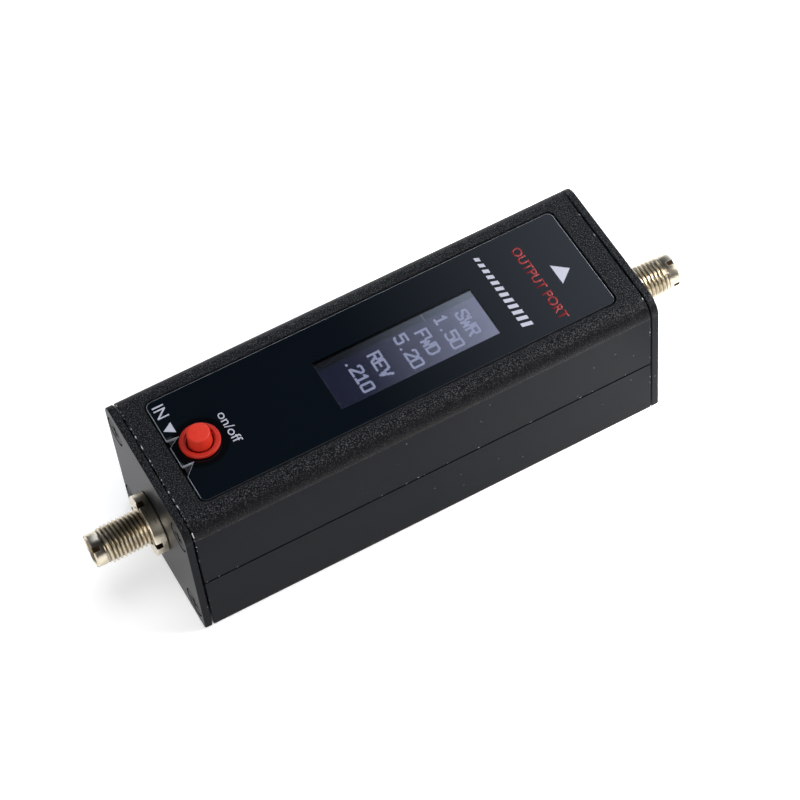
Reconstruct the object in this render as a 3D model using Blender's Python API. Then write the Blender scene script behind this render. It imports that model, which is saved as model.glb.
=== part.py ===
"""In-line digital power and standing-wave meter in a split aluminium case.

Metres, +Z up. The origin is at the bottom centre: X runs along the case from the
transmitter end to the antenna end, and the case stands on z = 0.
"""

from math import acos, asin, cos, pi, radians, sin, tau

import bmesh
import bpy
from mathutils import Vector

# Fits shared by all pieces
SEAT_GAP = 0.00025          # air left between two pieces that touch
CUT_OVERRUN = 0.001         # how far a cutter runs past what it cuts

# Case: two extruded half shells that meet on the sides
CASE_LENGTH = 0.0816
CASE_WIDTH = 0.0294
CASE_HEIGHT = 0.0284
SPLIT_HEIGHT = 0.0131       # height of the joint line between the shells
SIDE_WALL = 0.0016
TOP_WALL = 0.0023
FLOOR_WALL = 0.0018
TOP_EDGE_RADIUS = 0.0030
BASE_EDGE_RADIUS = 0.0010
CORNER_STEPS = 7

# Screw channels in the four corners of the extrusions
CHANNEL_SIDE_INSET = 0.0032
CHANNEL_TOP_INSET = 0.0046
CHANNEL_BASE_INSET = 0.0042
CHANNEL_RADIUS = 0.0026
CHANNEL_STEPS = 9

# End plates
PLATE_THICKNESS = 0.0013
PLATE_CHAMFER = 0.00025

# End screws: countersunk, cross recess, M2.5 by 6
SCREW_RADIUS = 0.00125
SCREW_HEAD_RADIUS = 0.00235
SCREW_HEAD_RIM = 0.00015
SCREW_SINK = 0.00005        # head below the face of the plate
SCREW_LENGTH = 0.0060
SCREW_POINT = 0.0008
SCREW_TIP_RADIUS = 0.0006
SCREW_SIDES = 20
RECESS_WIDTH = 0.0005
RECESS_SPAN = 0.0025
RECESS_DEEP = 0.0007

# Main board and the rails that hold its edges
BOARD_THICKNESS = 0.0016
RAIL_THICKNESS = 0.0009
RAIL_DEPTH = 0.0012
LIP_THICKNESS = 0.0012      # inner lip that the upper shell slides over
LIP_MARGIN = 0.0012         # lip above and below the two rails

# Coaxial connectors with a 1/4-36 UNS thread
THREAD_RADIUS = 0.003175
THREAD_PITCH = 0.0007056
THREAD_DEPTH = 0.00042
THREAD_SIDES = 20
THREAD_STEPS = 4            # rings for each turn
BARREL_REACH = 0.0115       # from the face of the plate to the tip
BARREL_TIP = 0.0019         # plain tip in front of the thread
TIP_RADIUS = 0.00285
TIP_CHAMFER = 0.00025
TIP_SLOT_WIDTH = 0.0008
TIP_SLOT_DEPTH = 0.0013
BORE_RADIUS = 0.0023
FLANGE_RADIUS = 0.0050
FLANGE_THICKNESS = 0.0018
TAIL_RADIUS = 0.0030
TAIL_LENGTH = 0.0020
LEG_WIDTH = 0.0010
LEG_HEIGHT = 0.0010
LEG_REACH = 0.0020          # over and under the board
LEG_SPACING = 0.0054        # middle to middle, across the board
CONTACT_RADIUS = 0.00065
CONTACT_BORE = 0.00046
CONTACT_BORE_DEPTH = 0.0030
CONTACT_RECESS = 0.0001     # contact behind the face of the insulator
INSULATOR_RECESS = 0.0019   # insulator behind the tip of the barrel
PIN_RADIUS = 0.00045
PIN_REACH = 0.0030          # solder pin behind the tail

# Slotted ring nuts outside the plates
NUT_RADIUS = 0.00525
NUT_THICKNESS = 0.0019
NUT_CHAMFER = 0.0002
NUT_NOTCH_WIDTH = 0.0012
NUT_NOTCH_DEPTH = 0.0011
NUT_NOTCH_RADIAL = 0.0012
NUT_TURN = radians(-7)      # how the tightened nuts happen to stand
NUT_SIDES = 40

# Face panel: clear sheet on a black adhesive sheet, in a recess of the upper shell
PANEL_END_BORDER = 0.00385  # case beyond the panel at each end
PANEL_SIDE_BORDER = 0.004075
PANEL_THICKNESS = 0.0006
PANEL_CORNER = 0.0011
PANEL_SINK = 0.0001         # panel below the top of the case
PANEL_MARGIN = 0.00035      # open line around the panel
ADHESIVE_THICKNESS = 0.0002
ADHESIVE_INSET = 0.0004
NOTCH_DEPTH_SHARE = 0.026   # of the panel's length
NOTCH_FAR_SHARES = (0.120, 0.110, 0.055)      # edge, point, edge, of the panel's width
NOTCH_NEAR_SHARES = (-0.143, -0.150, -0.240)  # the same for the other notch

# Display behind the panel
WINDOW_LENGTH = 0.0286
WINDOW_SIDE_BORDER = 0.005525   # panel on both sides of the window, on average
WINDOW_OFFSET_X = 0.0038
WINDOW_OFFSET_Y = -0.0012
GLASS_BORDER = 0.0012       # display glass beyond the window
GLASS_THICKNESS = 0.0015
PAD_INSET = 0.0005
PAD_THICKNESS = 0.00095
DISPLAY_BOARD_MARGIN = 0.0032   # display board beyond the glass at each end
DISPLAY_BOARD_SIDE = 0.0012
DISPLAY_BOARD_THICKNESS = 0.0010
FLEX_WIDTH_SHARE = 0.6      # of the glass's width
FLEX_THICKNESS = 0.0002
FLEX_BEND_SHARES = (0.25, 0.67)     # of the way from the glass to the end of the board
HEADER_PINS = 4
HEADER_PITCH = 0.00254
HEADER_DEPTH = 0.0024
HEADER_HEIGHT = 0.0025
HEADER_INSET = 0.0016       # middle of the header from the end of the display board
HEADER_PIN_WIDTH = 0.0006
HEADER_PIN_LENGTH = 0.0042
HEADER_PIN_STUB = 0.0002    # pin above the display board

# Parts on the main board
SHIELD_LENGTH = 0.0220
SHIELD_WIDTH = 0.0160
SHIELD_HEIGHT = 0.0034
SHIELD_WALL = 0.0004
SHIELD_OFFSET_X = -0.0150
CHIP_SIZE = 0.0070
CHIP_HEIGHT = 0.0010
CHIP_OFFSET_X = 0.0080
CHIP_LEG_REACH = 0.0006
CHIP_LEG_SHARES = (0.1, 0.3)    # levels of the legs, of the chip's height
CHARGE_LENGTH = 0.0056
CHARGE_WIDTH = 0.0075
CHARGE_HEIGHT = 0.0026
CHARGE_WALL = 0.0003
CHARGE_TONGUE = 0.0006
CHARGE_SINK = 0.0003        # mouth of the socket behind the face of the plate
CHARGE_TUCK = 0.00005       # how far it reaches in beside the connector's flange

# Battery and its plug
CELL_LENGTH = 0.0500
CELL_CLEARANCE = 0.0004     # room between the cell and the screw channels
CELL_THICKNESS = 0.0064
CELL_CORNER = 0.0014
CELL_OFFSET_X = -0.0030
TAPE_THICKNESS = 0.0005
TAPE_INSET = 0.0020
SOCKET_LENGTH = 0.0060
SOCKET_WIDTH = 0.0080
SOCKET_HEIGHT = 0.0040
SOCKET_WALL = 0.0006
SOCKET_MOUTH = 0.0042
SOCKET_FROM_CELL = 0.0048   # mouth of the socket from the end of the cell
PLUG_REACH = 0.0020         # plug outside the socket
LEAD_RADIUS = 0.0005
LEAD_SPACING = 0.0030

# Push button at the transmitter end
BUTTON_X = -0.0324
BUTTON_Y = -0.0004
BUTTON_TRAVEL = 0.0015
BEZEL_RADIUS = 0.00332
BEZEL_HEIGHT = 0.00055
BEZEL_EDGE = 0.00018
BEZEL_LENGTH = 0.00475      # barrel below the flange
COUNTERBORE_RADIUS = 0.00254
COUNTERBORE_DEPTH = 0.0004
CAP_TOP_RADIUS = 0.00184
CAP_BASE_RADIUS = 0.00202
CAP_RISE = 0.0021           # cap above the flange
CAP_EDGE = 0.00022
BEZEL_WALL = 0.00042
COLLAR_RADIUS = 0.0027
COLLAR_THICKNESS = 0.0008
STEM_RADIUS = 0.0008
STEM_LENGTH = 0.0008
DISC_RADIUS = 0.0013
DISC_THICKNESS = 0.0004
BUTTON_NUT_FLATS = 0.0080
BUTTON_NUT_THICKNESS = 0.0016
BASE_WALL = 0.0009
BASE_FLOOR = 0.0010
TERMINAL_WIDTH = 0.0006
TERMINAL_SPACING = 0.0020
TERMINAL_STUB = 0.0002      # terminal above the floor of the switch
SPRING_WIRE = 0.00017
SPRING_RADIUS = 0.00212
SPRING_TURNS = 2.5
TURNED_SIDES = 32

# Levels and faces worked out from the sizes above
AXIS_HEIGHT = SPLIT_HEIGHT  # the connectors sit on the joint line
CASE_END = CASE_LENGTH / 2
PLATE_INNER = CASE_END + SEAT_GAP
PLATE_FACE = PLATE_INNER + PLATE_THICKNESS
CHANNEL_Y = CASE_WIDTH / 2 - CHANNEL_SIDE_INSET
CHANNEL_TOP = CASE_HEIGHT - CHANNEL_TOP_INSET
CHANNEL_BASE = CHANNEL_BASE_INSET
CELL_WIDTH = 2 * (CHANNEL_Y - CHANNEL_RADIUS - CELL_CLEARANCE)
CHARGE_OFFSET_Y = FLANGE_RADIUS - CHARGE_TUCK + CHARGE_WIDTH / 2
PANEL_LENGTH = CASE_LENGTH - 2 * PANEL_END_BORDER
PANEL_WIDTH = CASE_WIDTH - 2 * PANEL_SIDE_BORDER
WINDOW_WIDTH = PANEL_WIDTH - 2 * WINDOW_SIDE_BORDER
INNER_WALL = CASE_WIDTH / 2 - SIDE_WALL
LIP_OUTER = INNER_WALL - SEAT_GAP
LIP_INNER = LIP_OUTER - LIP_THICKNESS
RAIL_EDGE = LIP_INNER - RAIL_DEPTH
BOARD_TOP = AXIS_HEIGHT - PIN_RADIUS - SEAT_GAP
BOARD_BASE = BOARD_TOP - BOARD_THICKNESS
BOARD_SEAT = BOARD_TOP + SEAT_GAP
BOARD_UNDER = BOARD_BASE - SEAT_GAP
FLANGE_REAR = PLATE_INNER - SEAT_GAP - FLANGE_THICKNESS
TAIL_END = FLANGE_REAR - TAIL_LENGTH
BOARD_HALF = TAIL_END - SEAT_GAP
BOARD_WIDTH = 2 * (LIP_INNER - SEAT_GAP)
PANEL_TOP = CASE_HEIGHT - PANEL_SINK
PANEL_BASE = PANEL_TOP - PANEL_THICKNESS
ADHESIVE_TOP = PANEL_BASE - SEAT_GAP
ADHESIVE_BASE = ADHESIVE_TOP - ADHESIVE_THICKNESS
RECESS_FLOOR = ADHESIVE_BASE - SEAT_GAP
CEILING = CASE_HEIGHT - TOP_WALL
BEZEL_BASE = PANEL_TOP + SEAT_GAP
BEZEL_TOP = BEZEL_BASE + BEZEL_HEIGHT
BEZEL_BORE = CAP_BASE_RADIUS + SEAT_GAP
BARREL_RADIUS = BEZEL_BORE + BEZEL_WALL
BARREL_END = BEZEL_BASE - BEZEL_LENGTH
BUTTON_HOLE = BARREL_RADIUS + SEAT_GAP


def material(name, color, roughness, metallic=0.0, alpha=1.0):
    """A Principled material with one colour, given in linear light."""
    mat = bpy.data.materials.new(name)
    mat.use_nodes = True
    shader = mat.node_tree.nodes["Principled BSDF"]
    shader.inputs["Base Color"].default_value = (*color, 1.0)
    shader.inputs["Roughness"].default_value = roughness
    shader.inputs["Metallic"].default_value = metallic
    shader.inputs["Alpha"].default_value = alpha
    mat.diffuse_color = (*color, 1.0)
    return mat


def add_object(name, mesh, mat=None, smooth=False):
    """Put a mesh in the scene under one name."""
    obj = bpy.data.objects.new(name, mesh)
    bpy.context.scene.collection.objects.link(obj)
    if mat is not None:
        mesh.materials.append(mat)
    if smooth:
        mesh.shade_smooth()
        mesh.set_sharp_from_angle(angle=radians(35))
    return obj


def mesh_from_rings(name, rings, closed=False):
    """Bridge rings of points; the ends are capped unless the last meets the first."""
    bm = bmesh.new()
    verts = [[bm.verts.new(point) for point in ring] for ring in rings]
    pairs = list(zip(verts, verts[1:]))
    if closed:
        pairs.append((verts[-1], verts[0]))
    for low, high in pairs:
        count = len(low)
        for i in range(count):
            j = (i + 1) % count
            bm.faces.new((low[i], low[j], high[j], high[i]))
    if not closed:
        bm.faces.new(verts[0])
        bm.faces.new(verts[-1])
    bmesh.ops.recalc_face_normals(bm, faces=bm.faces)
    mesh = bpy.data.meshes.new(name)
    bm.to_mesh(mesh)
    bm.free()
    return mesh


def prism_x(name, outline, low, high, mat=None, smooth=False):
    """Extrude an outline of (y, z) points along X."""
    rings = [[Vector((x, y, z)) for y, z in outline] for x in (low, high)]
    return add_object(name, mesh_from_rings(name, rings), mat, smooth)


def prism_y(name, outline, low, high, mat=None, smooth=False):
    """Extrude an outline of (x, z) points along Y."""
    rings = [[Vector((x, y, z)) for x, z in outline] for y in (low, high)]
    return add_object(name, mesh_from_rings(name, rings), mat, smooth)


def prism_z(name, outline, low, high, mat=None, smooth=False):
    """Extrude an outline of (x, y) points along Z."""
    rings = [[Vector((x, y, z)) for x, y in outline] for z in (low, high)]
    return add_object(name, mesh_from_rings(name, rings), mat, smooth)


def block(name, low, high, mat=None):
    """A box between two corners."""
    outline = [(low[0], low[1]), (high[0], low[1]), (high[0], high[1]), (low[0], high[1])]
    return prism_z(name, outline, low[2], high[2], mat)


def arc(center, radius, start, end, steps):
    """Points of a circular arc, both ends included."""
    turns = [start + (end - start) * i / steps for i in range(steps + 1)]
    return [(center[0] + radius * cos(t), center[1] + radius * sin(t)) for t in turns]


def rounded_rectangle(center, length, width, radius, steps=CORNER_STEPS):
    """Outline of a rectangle with round corners, counter-clockwise."""
    half = (length / 2 - radius, width / 2 - radius)
    corners = ((1, 1, 0.0), (-1, 1, pi / 2), (-1, -1, pi), (1, -1, 3 * pi / 2))
    outline = []
    for sx, sy, start in corners:
        middle = (center[0] + sx * half[0], center[1] + sy * half[1])
        outline += arc(middle, radius, start, start + pi / 2, steps)
    return outline


def turned_z(name, profile, place, mat=None, sides=TURNED_SIDES, closed=False):
    """Turn (radius, z) points about a vertical axis through place."""
    rings = []
    for radius, z in profile:
        rings.append([Vector((place[0] + radius * cos(tau * i / sides),
                              place[1] + radius * sin(tau * i / sides), z))
                      for i in range(sides)])
    return add_object(name, mesh_from_rings(name, rings, closed), mat, True)


def turned_x(name, profile, center, mat=None, sides=TURNED_SIDES, closed=False):
    """Turn (x, radius) points about an axis along X through center (y, z)."""
    rings = []
    for x, radius in profile:
        rings.append([Vector((x, center[0] + radius * cos(tau * i / sides),
                              center[1] + radius * sin(tau * i / sides)))
                      for i in range(sides)])
    return add_object(name, mesh_from_rings(name, rings, closed), mat, True)


def combine(target, other, operation):
    """Cut another solid from the target, or join it on, and leave it as a guide."""
    modifier = target.modifiers.new(other.name, 'BOOLEAN')
    modifier.operation = operation
    modifier.solver = 'EXACT'
    modifier.object = other
    other.hide_render = True
    other.display_type = 'WIRE'


def cut(target, *cutters):
    for cutter in cutters:
        combine(target, cutter, 'DIFFERENCE')


def join(target, *pieces):
    for piece in pieces:
        combine(target, piece, 'UNION')


def both_sides(half_outline):
    """Complete a (y, z) outline that runs from the middle, round +Y, to the middle."""
    return half_outline + [(-y, z) for y, z in reversed(half_outline) if y > 0]


def case_outline(inset=0.0):
    """Outer section of the case, drawn in by an inset."""
    half = CASE_WIDTH / 2 - inset
    base_radius = BASE_EDGE_RADIUS - inset
    top_radius = TOP_EDGE_RADIUS - inset
    low = inset
    high = CASE_HEIGHT - inset
    right = [(0.0, low)]
    right += arc((half - base_radius, low + base_radius), base_radius, -pi / 2, 0.0, CORNER_STEPS)
    right += arc((half - top_radius, high - top_radius), top_radius, 0.0, pi / 2, CORNER_STEPS)
    right += [(0.0, high)]
    return both_sides(right)


def channel_places():
    """The four screw channels, as (y, z)."""
    return [(side * CHANNEL_Y, z) for z in (CHANNEL_BASE, CHANNEL_TOP) for side in (-1, 1)]


def channel_cutter(name, place):
    """A round hole along the whole extrusion."""
    reach = CASE_END + CUT_OVERRUN
    radius = SCREW_RADIUS + SEAT_GAP
    return turned_x(name, [(-reach, radius), (reach, radius)], place, sides=SCREW_SIDES)


def upper_shell(mat):
    """Inverted U with two screw channels, a panel recess and two openings."""
    reach = CHANNEL_RADIUS
    at_ceiling = asin((CEILING - CHANNEL_TOP) / reach)
    at_wall = acos((INNER_WALL - CHANNEL_Y) / reach)
    rim = SPLIT_HEIGHT + SEAT_GAP / 2
    corner = (CASE_WIDTH / 2 - TOP_EDGE_RADIUS, CASE_HEIGHT - TOP_EDGE_RADIUS)
    right = [(0.0, CEILING)]
    right += arc((CHANNEL_Y, CHANNEL_TOP), reach, pi - at_ceiling, tau - at_wall, CHANNEL_STEPS)
    right += [(INNER_WALL, rim), (CASE_WIDTH / 2, rim)]
    right += arc(corner, TOP_EDGE_RADIUS, 0.0, pi / 2, CORNER_STEPS)
    right += [(0.0, CASE_HEIGHT)]
    shell = prism_x("upper_shell", both_sides(right), -CASE_END, CASE_END, mat, True)

    above = CASE_HEIGHT + CUT_OVERRUN
    below = CEILING - CUT_OVERRUN
    recess = rounded_rectangle((0.0, 0.0), PANEL_LENGTH + 2 * PANEL_MARGIN,
                               PANEL_WIDTH + 2 * PANEL_MARGIN, PANEL_CORNER + PANEL_MARGIN)
    cut(shell, prism_z("cut_panel_recess", recess, RECESS_FLOOR, above))
    low, high = display_rectangle(GLASS_BORDER + SEAT_GAP)
    cut(shell, block("cut_display_opening", (*low, below), (*high, above)))
    hole = [(BUTTON_HOLE, below), (BUTTON_HOLE, above)]
    cut(shell, turned_z("cut_button_hole", hole, (BUTTON_X, BUTTON_Y)))
    for index, place in enumerate(channel_places()[2:]):
        cut(shell, channel_cutter(f"cut_upper_channel_{index}", place))
    return shell


def lower_shell(mat):
    """U with two screw channels, a lip inside the joint and rails for the board."""
    at_wall = acos((INNER_WALL - CHANNEL_Y) / CHANNEL_RADIUS)
    at_floor = asin((CHANNEL_BASE - FLOOR_WALL) / CHANNEL_RADIUS)
    rail_top = BOARD_SEAT + RAIL_THICKNESS
    rail_base = BOARD_UNDER - RAIL_THICKNESS
    rim = SPLIT_HEIGHT - SEAT_GAP / 2
    corner = (CASE_WIDTH / 2 - BASE_EDGE_RADIUS, BASE_EDGE_RADIUS)
    right = [(0.0, 0.0)]
    right += arc(corner, BASE_EDGE_RADIUS, -pi / 2, 0.0, CORNER_STEPS)
    right += [(CASE_WIDTH / 2, rim), (LIP_OUTER, rim)]
    right += [(LIP_OUTER, rail_top + LIP_MARGIN), (LIP_INNER, rail_top + LIP_MARGIN)]
    right += [(LIP_INNER, rail_top), (RAIL_EDGE, rail_top)]
    right += [(RAIL_EDGE, BOARD_SEAT), (LIP_INNER, BOARD_SEAT)]
    right += [(LIP_INNER, BOARD_UNDER), (RAIL_EDGE, BOARD_UNDER)]
    right += [(RAIL_EDGE, rail_base), (LIP_INNER, rail_base)]
    right += [(LIP_INNER, rail_base - LIP_MARGIN), (INNER_WALL, rail_base - LIP_MARGIN)]
    right += arc((CHANNEL_Y, CHANNEL_BASE), CHANNEL_RADIUS, at_wall, pi + at_floor, CHANNEL_STEPS)
    right += [(0.0, FLOOR_WALL)]
    shell = prism_x("lower_shell", both_sides(right), -CASE_END, CASE_END, mat, True)
    for index, place in enumerate(channel_places()[:2]):
        cut(shell, channel_cutter(f"cut_lower_channel_{index}", place))
    cut(shell, charge_cutter("cut_shell_charge"))
    return shell


def screw_profile(side, clearance=0.0):
    """(x, radius) points of a countersunk screw, or of its hole with a clearance."""
    face = PLATE_FACE - SCREW_SINK
    head = SCREW_HEAD_RADIUS + clearance
    shank = SCREW_RADIUS + clearance
    cone = SCREW_HEAD_RADIUS - SCREW_RADIUS
    rim = face - SCREW_HEAD_RIM
    if clearance:
        outside = PLATE_FACE + CUT_OVERRUN
        inside = PLATE_INNER - CUT_OVERRUN
        points = [(outside, head), (rim, head), (rim - cone, shank), (inside, shank)]
    else:
        end = face - SCREW_LENGTH
        points = [(face, head), (rim, head), (rim - cone, shank),
                  (end + SCREW_POINT, shank), (end, SCREW_TIP_RADIUS)]
    return [(side * x, radius) for x, radius in points]


def end_screw(name, side, place, mat):
    """Countersunk screw with a cross recess."""
    screw = turned_x(name, screw_profile(side), place, mat, SCREW_SIDES)
    face = side * (PLATE_FACE - SCREW_SINK)
    low = min(face - side * RECESS_DEEP, face + side * CUT_OVERRUN)
    high = max(face - side * RECESS_DEEP, face + side * CUT_OVERRUN)
    spans = ((RECESS_SPAN, RECESS_WIDTH), (RECESS_WIDTH, RECESS_SPAN))
    for index, (wide, tall) in enumerate(spans):
        cutter = block(f"cut_{name}_{index}", (low, place[0] - wide / 2, place[1] - tall / 2),
                       (high, place[0] + wide / 2, place[1] + tall / 2))
        cut(screw, cutter)
    return screw


def end_plate(name, side, mat):
    """Plate with the section of the case, a bore and four countersunk holes."""
    levels = ((PLATE_INNER, 0.0), (PLATE_FACE - PLATE_CHAMFER, 0.0), (PLATE_FACE, PLATE_CHAMFER))
    rings = [[Vector((side * x, y, z)) for y, z in case_outline(inset)] for x, inset in levels]
    plate = add_object(name, mesh_from_rings(name, rings), mat, True)
    hole = THREAD_RADIUS + SEAT_GAP
    bore = [(side * (PLATE_INNER - CUT_OVERRUN), hole), (side * (PLATE_FACE + CUT_OVERRUN), hole)]
    cut(plate, turned_x(f"cut_{name}_bore", bore, (0.0, AXIS_HEIGHT)))
    for index, place in enumerate(channel_places()):
        cut(plate, turned_x(f"cut_{name}_screw_{index}", screw_profile(side, SEAT_GAP),
                            place, sides=SCREW_SIDES))
    return plate


def thread_radius(x, turn):
    """Radius of the threaded barrel at x from the plate face and at a turn from 0 to 1."""
    start = NUT_THICKNESS
    end = BARREL_REACH - BARREL_TIP
    phase = (x / THREAD_PITCH - turn) % 1.0
    ridge = 1.0 - abs(2.0 * phase - 1.0)
    fade = min(1.0, max(0.0, min(x - start, end - x) / THREAD_PITCH))
    return THREAD_RADIUS - THREAD_DEPTH * (1.0 - ridge) * fade


def connector_rings():
    """Outer rings of the connector from the tip to the tail, as (x, radii)."""
    tip = BARREL_REACH
    thread_end = BARREL_REACH - BARREL_TIP
    rear = FLANGE_REAR - PLATE_FACE
    front = -PLATE_THICKNESS - SEAT_GAP
    plain = [(tip, TIP_RADIUS - TIP_CHAMFER), (tip - TIP_CHAMFER, TIP_RADIUS),
             (thread_end + TIP_CHAMFER, TIP_RADIUS)]
    rings = [(x, [radius] * THREAD_SIDES) for x, radius in plain]
    count = round((thread_end - NUT_THICKNESS) / THREAD_PITCH * THREAD_STEPS)
    for i in range(count + 1):
        x = thread_end - (thread_end - NUT_THICKNESS) * i / count
        rings.append((x, [thread_radius(x, j / THREAD_SIDES) for j in range(THREAD_SIDES)]))
    back = [(front, THREAD_RADIUS), (front, FLANGE_RADIUS), (rear, FLANGE_RADIUS),
            (rear, TAIL_RADIUS), (rear - TAIL_LENGTH, TAIL_RADIUS),
            (rear - TAIL_LENGTH, BORE_RADIUS), (tip, BORE_RADIUS)]
    rings += [(x, [radius] * THREAD_SIDES) for x, radius in back]
    return rings


def along_connector(side, x, radius, angle):
    """World point of a connector, turned half a turn about Z for the -X end."""
    return Vector((side * (PLATE_FACE + x), side * radius * cos(angle),
                   AXIS_HEIGHT + radius * sin(angle)))


def connector_body(name, side, slot_angle, mat):
    """Threaded barrel, flange behind the plate and four legs that hold the board."""
    rings = []
    for x, radii in connector_rings():
        rings.append([along_connector(side, x, radius, tau * j / THREAD_SIDES)
                      for j, radius in enumerate(radii)])
    body = add_object(name, mesh_from_rings(name, rings, closed=True), mat, True)

    start = FLANGE_REAR + FLANGE_THICKNESS / 2
    end = TAIL_END - LEG_REACH
    rises = ((BOARD_SEAT, BOARD_SEAT + LEG_HEIGHT), (BOARD_UNDER - LEG_HEIGHT, BOARD_UNDER))
    for hand in (-1, 1):
        for index, (low, high) in enumerate(rises):
            xs = sorted((side * start, side * end))
            middle = hand * LEG_SPACING / 2
            leg = block(f"join_{name}_leg_{hand + 1}_{index}",
                        (xs[0], middle - LEG_WIDTH / 2, low),
                        (xs[1], middle + LEG_WIDTH / 2, high))
            join(body, leg)

    tip = PLATE_FACE + BARREL_REACH
    xs = sorted((side * (tip - TIP_SLOT_DEPTH), side * (tip + CUT_OVERRUN)))
    reach = (BORE_RADIUS / 2, TIP_RADIUS + CUT_OVERRUN)
    for quarter in range(4):
        angle = slot_angle + quarter * pi / 2
        cut(body, radial_bar(f"cut_{name}_slot_{quarter}", angle, reach, TIP_SLOT_WIDTH, xs))
    return body


def radial_bar(name, angle, reach, width, xs):
    """Bar that points away from the connector's axis, for a slot across a rim."""
    across = Vector((cos(angle), sin(angle)))
    beside = Vector((-sin(angle), cos(angle))) * (width / 2)
    near, far = (Vector((0.0, AXIS_HEIGHT)) + across * radius for radius in reach)
    return prism_x(name, [near - beside, far - beside, far + beside, near + beside], *xs)


def connector_insulator(name, side, mat):
    """Sleeve between the barrel and the centre contact."""
    front = side * (PLATE_FACE + BARREL_REACH - INSULATOR_RECESS)
    back = side * TAIL_END
    outer = BORE_RADIUS - SEAT_GAP
    inner = CONTACT_RADIUS + SEAT_GAP
    profile = [(front, inner), (front, outer), (back, outer), (back, inner)]
    return turned_x(name, profile, (0.0, AXIS_HEIGHT), mat, THREAD_SIDES, closed=True)


def connector_contact(name, side, mat):
    """Centre contact: a socket at the front and a solder pin over the board."""
    front = PLATE_FACE + BARREL_REACH - INSULATOR_RECESS - CONTACT_RECESS
    deep = front - CONTACT_BORE_DEPTH
    profile = [(deep, CONTACT_BORE), (front, CONTACT_BORE), (front, CONTACT_RADIUS),
               (TAIL_END, CONTACT_RADIUS), (TAIL_END, PIN_RADIUS), (TAIL_END - PIN_REACH, PIN_RADIUS)]
    points = [(side * x, radius) for x, radius in profile]
    return turned_x(name, points, (0.0, AXIS_HEIGHT), mat, THREAD_SIDES)


def ring_nut(name, side, mat):
    """Round nut with four spanner notches in its front face."""
    back = PLATE_FACE + SEAT_GAP
    front = back + NUT_THICKNESS
    bore = THREAD_RADIUS + SEAT_GAP
    profile = [(back, bore), (back, NUT_RADIUS - NUT_CHAMFER), (back + NUT_CHAMFER, NUT_RADIUS),
               (front - NUT_CHAMFER, NUT_RADIUS), (front, NUT_RADIUS - NUT_CHAMFER), (front, bore)]
    points = [(side * x, radius) for x, radius in profile]
    nut = turned_x(name, points, (0.0, AXIS_HEIGHT), mat, NUT_SIDES, closed=True)
    xs = sorted((side * (front - NUT_NOTCH_DEPTH), side * (front + CUT_OVERRUN)))
    reach = (NUT_RADIUS - NUT_NOTCH_RADIAL, NUT_RADIUS + CUT_OVERRUN)
    for quarter in range(4):
        angle = NUT_TURN + quarter * pi / 2
        cut(nut, radial_bar(f"cut_{name}_notch_{quarter}", angle, reach, NUT_NOTCH_WIDTH, xs))
    return nut


def panel_outline():
    """Face panel seen from above: round corners and two notches at the button end."""
    outline = rounded_rectangle((0.0, 0.0), PANEL_LENGTH, PANEL_WIDTH, PANEL_CORNER)
    edge = -PANEL_LENGTH / 2
    point = edge + NOTCH_DEPTH_SHARE * PANEL_LENGTH
    second_corner = 2 * (CORNER_STEPS + 1)
    notches = []
    for shares in (NOTCH_FAR_SHARES, NOTCH_NEAR_SHARES):
        ys = [share * PANEL_WIDTH for share in shares]
        notches += [(edge, ys[0]), (point, ys[1]), (edge, ys[2])]
    return outline[:second_corner] + notches + outline[second_corner:]


def face_panel(mat):
    """Clear sheet with a hole for the button."""
    panel = prism_z("face_panel", panel_outline(), PANEL_BASE, PANEL_TOP, mat)
    hole = [(BUTTON_HOLE, PANEL_BASE - CUT_OVERRUN), (BUTTON_HOLE, PANEL_TOP + CUT_OVERRUN)]
    cut(panel, turned_z("cut_panel_hole", hole, (BUTTON_X, BUTTON_Y)))
    return panel


def panel_adhesive(mat):
    """Black sheet under the panel, open around the display glass and the button."""
    length = PANEL_LENGTH - 2 * ADHESIVE_INSET
    width = PANEL_WIDTH - 2 * ADHESIVE_INSET
    outline = rounded_rectangle((0.0, 0.0), length, width, PANEL_CORNER - ADHESIVE_INSET)
    sheet = prism_z("panel_adhesive", outline, ADHESIVE_BASE, ADHESIVE_TOP, mat)
    low, high = display_rectangle(GLASS_BORDER + SEAT_GAP)
    below = ADHESIVE_BASE - CUT_OVERRUN
    above = ADHESIVE_TOP + CUT_OVERRUN
    cut(sheet, block("cut_adhesive_window", (*low, below), (*high, above)))
    hole = [(BUTTON_HOLE, below), (BUTTON_HOLE, above)]
    cut(sheet, turned_z("cut_adhesive_hole", hole, (BUTTON_X, BUTTON_Y)))
    return sheet


def display_rectangle(border, end_border=None):
    """Corners of the display window in plan, grown by a border."""
    ends = border if end_border is None else end_border
    half = (WINDOW_LENGTH / 2 + ends, WINDOW_WIDTH / 2 + border)
    low = (WINDOW_OFFSET_X - half[0], WINDOW_OFFSET_Y - half[1])
    high = (WINDOW_OFFSET_X + half[0], WINDOW_OFFSET_Y + half[1])
    return low, high


def display_levels():
    """Top and bottom of the glass, the pad and the display board."""
    glass = (ADHESIVE_TOP, ADHESIVE_TOP - GLASS_THICKNESS)
    pad_top = glass[1] - SEAT_GAP
    pad = (pad_top, pad_top - PAD_THICKNESS)
    board_top = pad[1] - SEAT_GAP
    board = (board_top, board_top - DISPLAY_BOARD_THICKNESS)
    return glass, pad, board


def header_places():
    """Plan positions of the header pins."""
    border = GLASS_BORDER + DISPLAY_BOARD_MARGIN
    end = display_rectangle(0.0, border)[1][0]
    first = WINDOW_OFFSET_Y - (HEADER_PINS - 1) * HEADER_PITCH / 2
    return [(end - HEADER_INSET, first + i * HEADER_PITCH) for i in range(HEADER_PINS)]


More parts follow.
